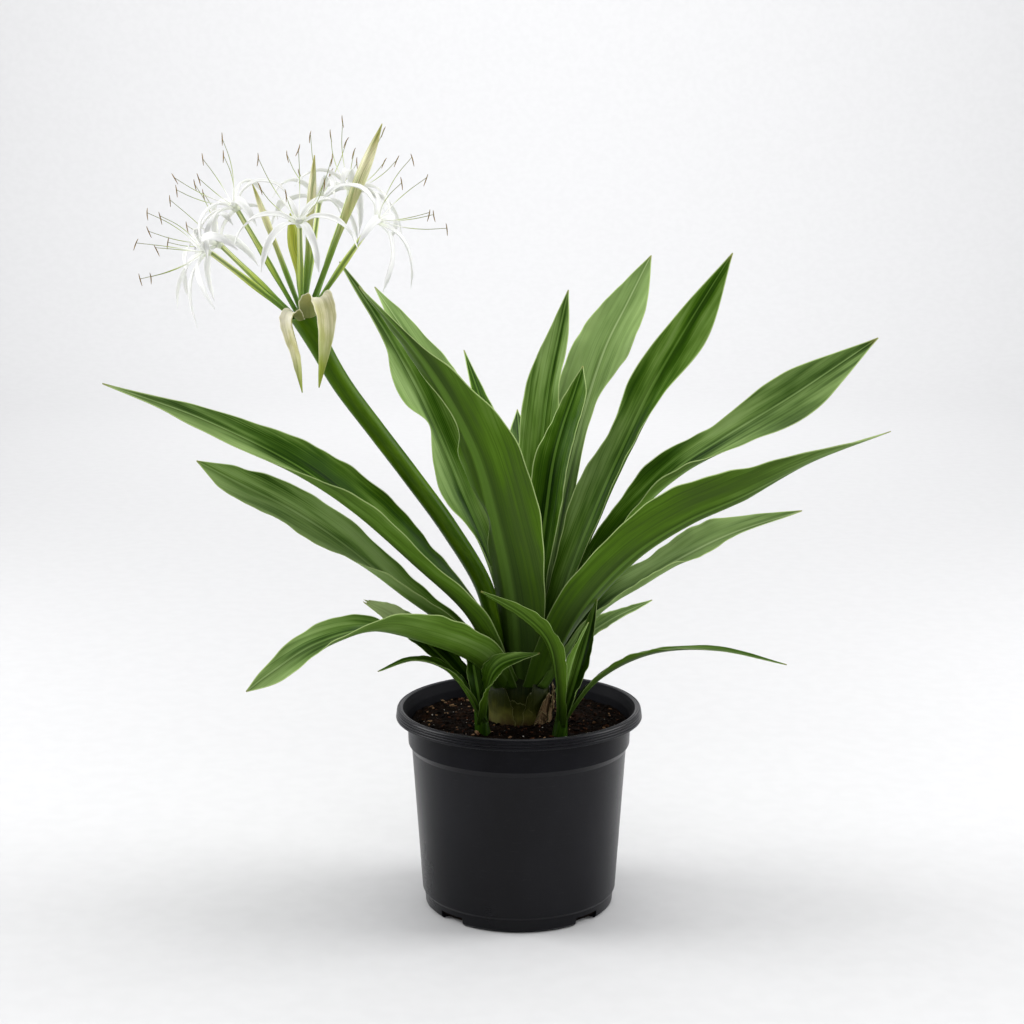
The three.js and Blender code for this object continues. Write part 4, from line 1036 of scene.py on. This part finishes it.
def scatter(name, material, count, seed, sizes, flats, grid):
    """Grains at random on the soil, away from the neck, each sunk a little into it."""
    rng = np.random.default_rng(seed)
    batch = Batch()
    while count:
        radius, angle = (SOIL_REACH - 4) * math.sqrt(rng.uniform()), rng.uniform(0, TURN)
        x, y = radius * math.cos(angle), radius * math.sin(angle)
        size = rng.uniform(*sizes) * rng.uniform(0.6, 1)
        if radius < NECK_RADIUS + 3 or radius + size / 2 > SOIL_REACH - 1:
            continue
        flat = [rng.uniform(*f) for f in flats]
        verts, faces = grain_shape(rng, size, flat, *grid)
        verts = turned(verts, rng, GRAIN_TILT) + np.array([x, y, soil_height(x, y) + size * flat[2] * GRAIN_LIFT])
        batch.add(verts, faces, even(verts, tone=rng.uniform() ** 1.4))
        count -= 1
    dress(batch.build(name, [material], smooth=False), "potting_mix")


# Flower head


def foot_of(seat):
    """The point of the stalk's end that a seat names."""
    axis = tangents(SCAPE_SPINE, 1.0)
    across = unit(np.array([1.0, 0, 0]) - axis * axis[0])
    angle, distance = math.radians(seat[0]), seat[1]
    away = across * math.cos(angle) + np.cross(axis, across) * math.sin(angle)
    return curve(SCAPE_SPINE, 1.0) + axis * GAP + away * distance


def tube_points(seat, end, facing):
    foot, end = foot_of(seat), np.asarray(end, float)
    middle = (foot + end) / 2 - facing * np.linalg.norm(end - foot) * 0.03
    return arch(foot, middle, end, np.linspace(0, 1, 25)[:, None])


def make_tube(name, node, material, tube, ridge, bud, green):
    verts, faces, layers = tube
    layers |= even(verts, bud=bud, green=green) | {"ridge": ridge}
    show(name, "tube_green", node, material, verts, faces, layers)


def make_tubes(material):
    def ribbed(angle, t):
        return 1 + 0.05 * np.cos(3 * angle)

    def seams(angle, t):
        depth = np.clip((t - 0.45) * 4, 0, 1)
        return 1 - 0.10 * depth * np.abs(np.cos(1.5 * angle + 2.5 * t)) ** 6

    steps, sides = TUBE_GRID
    for number, (seat, throat, facing, _) in enumerate(BLOOMS, 1):
        points = tube_points(seat, throat, unit(facing))
        # ridge: low values put painted shade in three stripes along the tube
        ridge = np.tile(0.5 + 0.5 * np.cos(np.arange(sides) * math.pi / 3 + number - 1), steps + 1)
        tube = tube_rings(points, TUBE_RADII, steps, sides, ribbed)
        make_tube(f"flower_tube_{number}", f"tube_{number}", material, tube, ridge, 0, 0)
    steps, sides = BUD_GRID
    for number, (seat, tip, radius, green) in enumerate(BUDS, 1):
        points = tube_points(seat, tip, unit(np.asarray(tip, float) - foot_of(seat)))
        r = 0.88 * radius
        # ridge: low values put faint painted shade in three stripes along the bud
        ridge = np.tile(0.8 + 0.2 * np.cos(np.arange(sides) * math.pi / 6 + number - 1), steps + 1)
        tube = tube_rings(points, [2.3, 2.3, 2.8, 2.6, r * 0.75, r, r * 0.75, 0.5], steps, sides, seams)
        make_tube(f"closed_bud_{number}", f"bud_{number}", material, tube, ridge, 1, green)


def bent_path(start, axis, radial, length, opening, closing, droop, steps):
    """Points that open from the flower's axis and then droop."""
    points = [np.asarray(start, float)]
    for i in range(steps):
        t = (i + 0.5) / steps
        angle = math.radians(opening + (closing - opening) * t ** 0.8)
        way = axis * math.cos(angle) + radial * math.sin(angle) - np.array([0, 0, droop * t * t])
        points.append(points[-1] + unit(way) * length / steps)
    return np.array(points)


def tepal(points, outward, seed):
    """A narrow channelled ribbon with a pointed tip and a slightly wavy hem."""
    steps, strips = TEPAL_GRID
    t = np.linspace(0, 1, steps + 1)
    s = np.linspace(-1, 1, strips + 1)
    down = t[:, None]
    centre, tangent = curve(points, t), tangents(points, t)
    side = unit(np.cross(tangent, outward))
    normal = np.cross(side, tangent)
    twist = 0.5 * wobble(seed, t, 2)[:, None] * down
    side, normal = side * np.cos(twist) + normal * np.sin(twist), normal * np.cos(twist) - side * np.sin(twist)
    half = TEPAL_WIDTH / 2 * (0.35 + 0.65 * np.sin(math.pi * np.minimum(0.12 + down * 0.88, 0.97)))
    half = half * np.clip((1 - down) / 0.16, 0.05, 1) ** 0.7
    x = half * s
    rise = half * 0.42 * s * s + 0.25 * wobble(seed + 9, t * 3, 4)[:, None] * np.abs(s) ** 3
    thick = 0.32 * (1 - 0.55 * s * s) * np.clip((1 - down) * 6, 0.3, 1)
    middle = spread(centre, side, x, normal, rise)
    offset = normal[:, None] * thick[..., None]
    run = arc_lengths(centre)[:, None] + 0 * x
    layers = {"blade": np.stack([x, run, 0 * x + seed * 3.1], axis=-1), "share": down + 0 * x, "anther": 0 * x}
    return two_faced(middle + offset, middle - offset), blade_faces(steps + 1, strips + 1), on_both(layers)


def make_bloom(seat, throat, facing, start, number):
    """One bloom, in parts of two slots: tepals and throat, and stamens."""
    batch = Batch()
    axis = unit(facing)
    reference = np.array([1.0, 0, 0]) if abs(axis[2]) > 0.9 else np.array([0.0, 0, 1])
    across = unit(np.cross(axis, reference))
    other = np.cross(axis, across)
    throat = np.asarray(throat, float) + axis * GAP

    def radial_at(turn):
        return across * math.cos(turn) + other * math.sin(turn)

    def add_tube(points, radii, steps, sides, slot, anther, shape=None, share=1):
        verts, faces, layers = tube_rings(points, radii, steps, sides, shape)
        layers["share"] *= share
        batch.add(verts, faces, layers | even(verts, anther=anther), slot)

    cup = [throat + axis * THROAT_LENGTH * x for x in (0, 0.5, 1)]
    add_tube(cup, [2.6, THROAT_RADIUS, 2.4], 12, 18, 0, 0, lambda a, t: 1 + 0.06 * np.cos(6 * a), share=0.12)
    for k in range(TEPAL_COUNT):
        seed = number * 20 + k
        turn = math.radians(start + 360 * k / TEPAL_COUNT)
        radial = radial_at(turn)
        root = throat + axis * THROAT_LENGTH * 0.45 + radial * 1.8
        length = TEPAL_LENGTH * (0.88 + 0.2 * draw(seed))
        path = bent_path(root, axis, radial, length, 45, 125 + 30 * draw(seed + 7), 1.1, TEPAL_STEPS)
        batch.add(*tepal(path, unit(axis + radial), seed), slot=0)
        between = radial_at(turn + math.pi / TEPAL_COUNT)
        base = throat + axis * THROAT_LENGTH * 0.9 + between * 1.4
        reach = FILAMENT_LENGTH * (0.85 + 0.25 * draw(seed + 11))
        line = bent_path(base, axis, between, reach, 50 + 14 * draw(seed + 3), 18, 0.05, FILAMENT_STEPS)
        add_tube(line, FILAMENT_RADII, 28, 7, 1, 0)
        lie = np.array([draw(seed + 5) - 0.5, 0.6 * (draw(seed + 6) - 0.5), 1.1])
        lie = unit(lie + 0.25 * between) * ANTHER_LENGTH / 2
        end = line[-1] - lie * 0.4 * draw(seed + 8)
        bow = unit(np.cross(lie, other)) * 0.5
        anther = [end - lie, end - lie * 0.3 + bow, end + lie * 0.3 + bow, end + lie * 0.85]
        add_tube(anther, ANTHER_RADII, 20, 8, 1, 1, lambda a, t: 1 + 0.25 * np.cos(2 * a))
    return batch


def make_blooms(petal, stamen):
    for number, bloom in enumerate(BLOOMS, 1):
        batch = make_bloom(*bloom, number)
        dress(batch.build(f"white_bloom_{number}", [petal, stamen]), "petal_white", f"bloom_{number}")


# Studio


def make_camera():
    data = bpy.data.cameras.new("camera")
    data.lens, data.sensor_width = LENS, SENSOR
    data.clip_start, data.clip_end = 0.05, 60
    camera = bpy.data.objects.new("camera", data)
    camera.location = CAMERA_PLACE
    camera.rotation_euler = (math.radians(90 - CAMERA_PITCH), 0, 0)
    SCENE.collection.objects.link(camera)
    SCENE.camera = camera


def make_stage(material):
    """A floor that sweeps up into a backdrop on every side."""
    profile = [(0.0, 0.0), (FLOOR_RADIUS, 0.0)]
    for k in range(1, SWEEP_STEPS + 1):
        a = math.pi / 2 * k / SWEEP_STEPS
        profile.append((FLOOR_RADIUS + SWEEP_RADIUS * math.sin(a), SWEEP_RADIUS * (1 - math.cos(a))))
    profile.append((FLOOR_RADIUS + SWEEP_RADIUS, BACKDROP_HEIGHT))
    rings = lathe_rings(profile, SWEEP_SIDES)
    faces = ring_faces(len(profile), SWEEP_SIDES, caps=False)
    sweep = make_object("studio_sweep", rings.reshape(-1, 3) / MM, faces, [material])


def make_lights():
    world = bpy.data.worlds.new("studio")
    world.use_nodes = True
    sky = world.node_tree.nodes["Background"]
    sky.inputs["Color"].default_value = SKY_COLOR
    sky.inputs["Strength"].default_value = SKY_STRENGTH
    SCENE.world = world
    for name, place, aim, size, energy, color, glossy in LIGHTS:
        data = bpy.data.lights.new(name, "AREA")
        data.shape, data.size, data.energy, data.color = "SQUARE", size, energy, color
        light = bpy.data.objects.new(name, data)
        light.location = place
        light.rotation_euler = (Vector(aim) - Vector(place)).to_track_quat("-Z", "Y").to_euler()
        light.visible_glossy = glossy
        SCENE.collection.objects.link(light)
    SCENE.view_settings.view_transform = "Standard"


# Building

make_camera()
make_stage(floor_material())
make_lights()
make_pot([plastic_material(*plastic) for plastic in PLASTICS])
make_soil(soil_material())
scatter("bark_and_fibre", chip_material(), 950, 11, (3, 10), ((0.5, 1), (0.3, 0.6), (0.16, 0.4)), (4, 6))
scatter("perlite_grains", perlite_material(), 55, 23, (1.0, 3.0), ((0.6, 1), (0.4, 0.8), (0.3, 0.7)), (5, 7))
make_neck(neck_material())
make_scape(stalk_material())
make_leaves(leaf_material("leaf_skin", **LEAF_LOOKS))
make_pups(leaf_material("pup_skin", **PUP_LOOKS))
make_bracts(bract_material())
make_tubes(tube_material())
make_blooms(petal_material(), stamen_material())
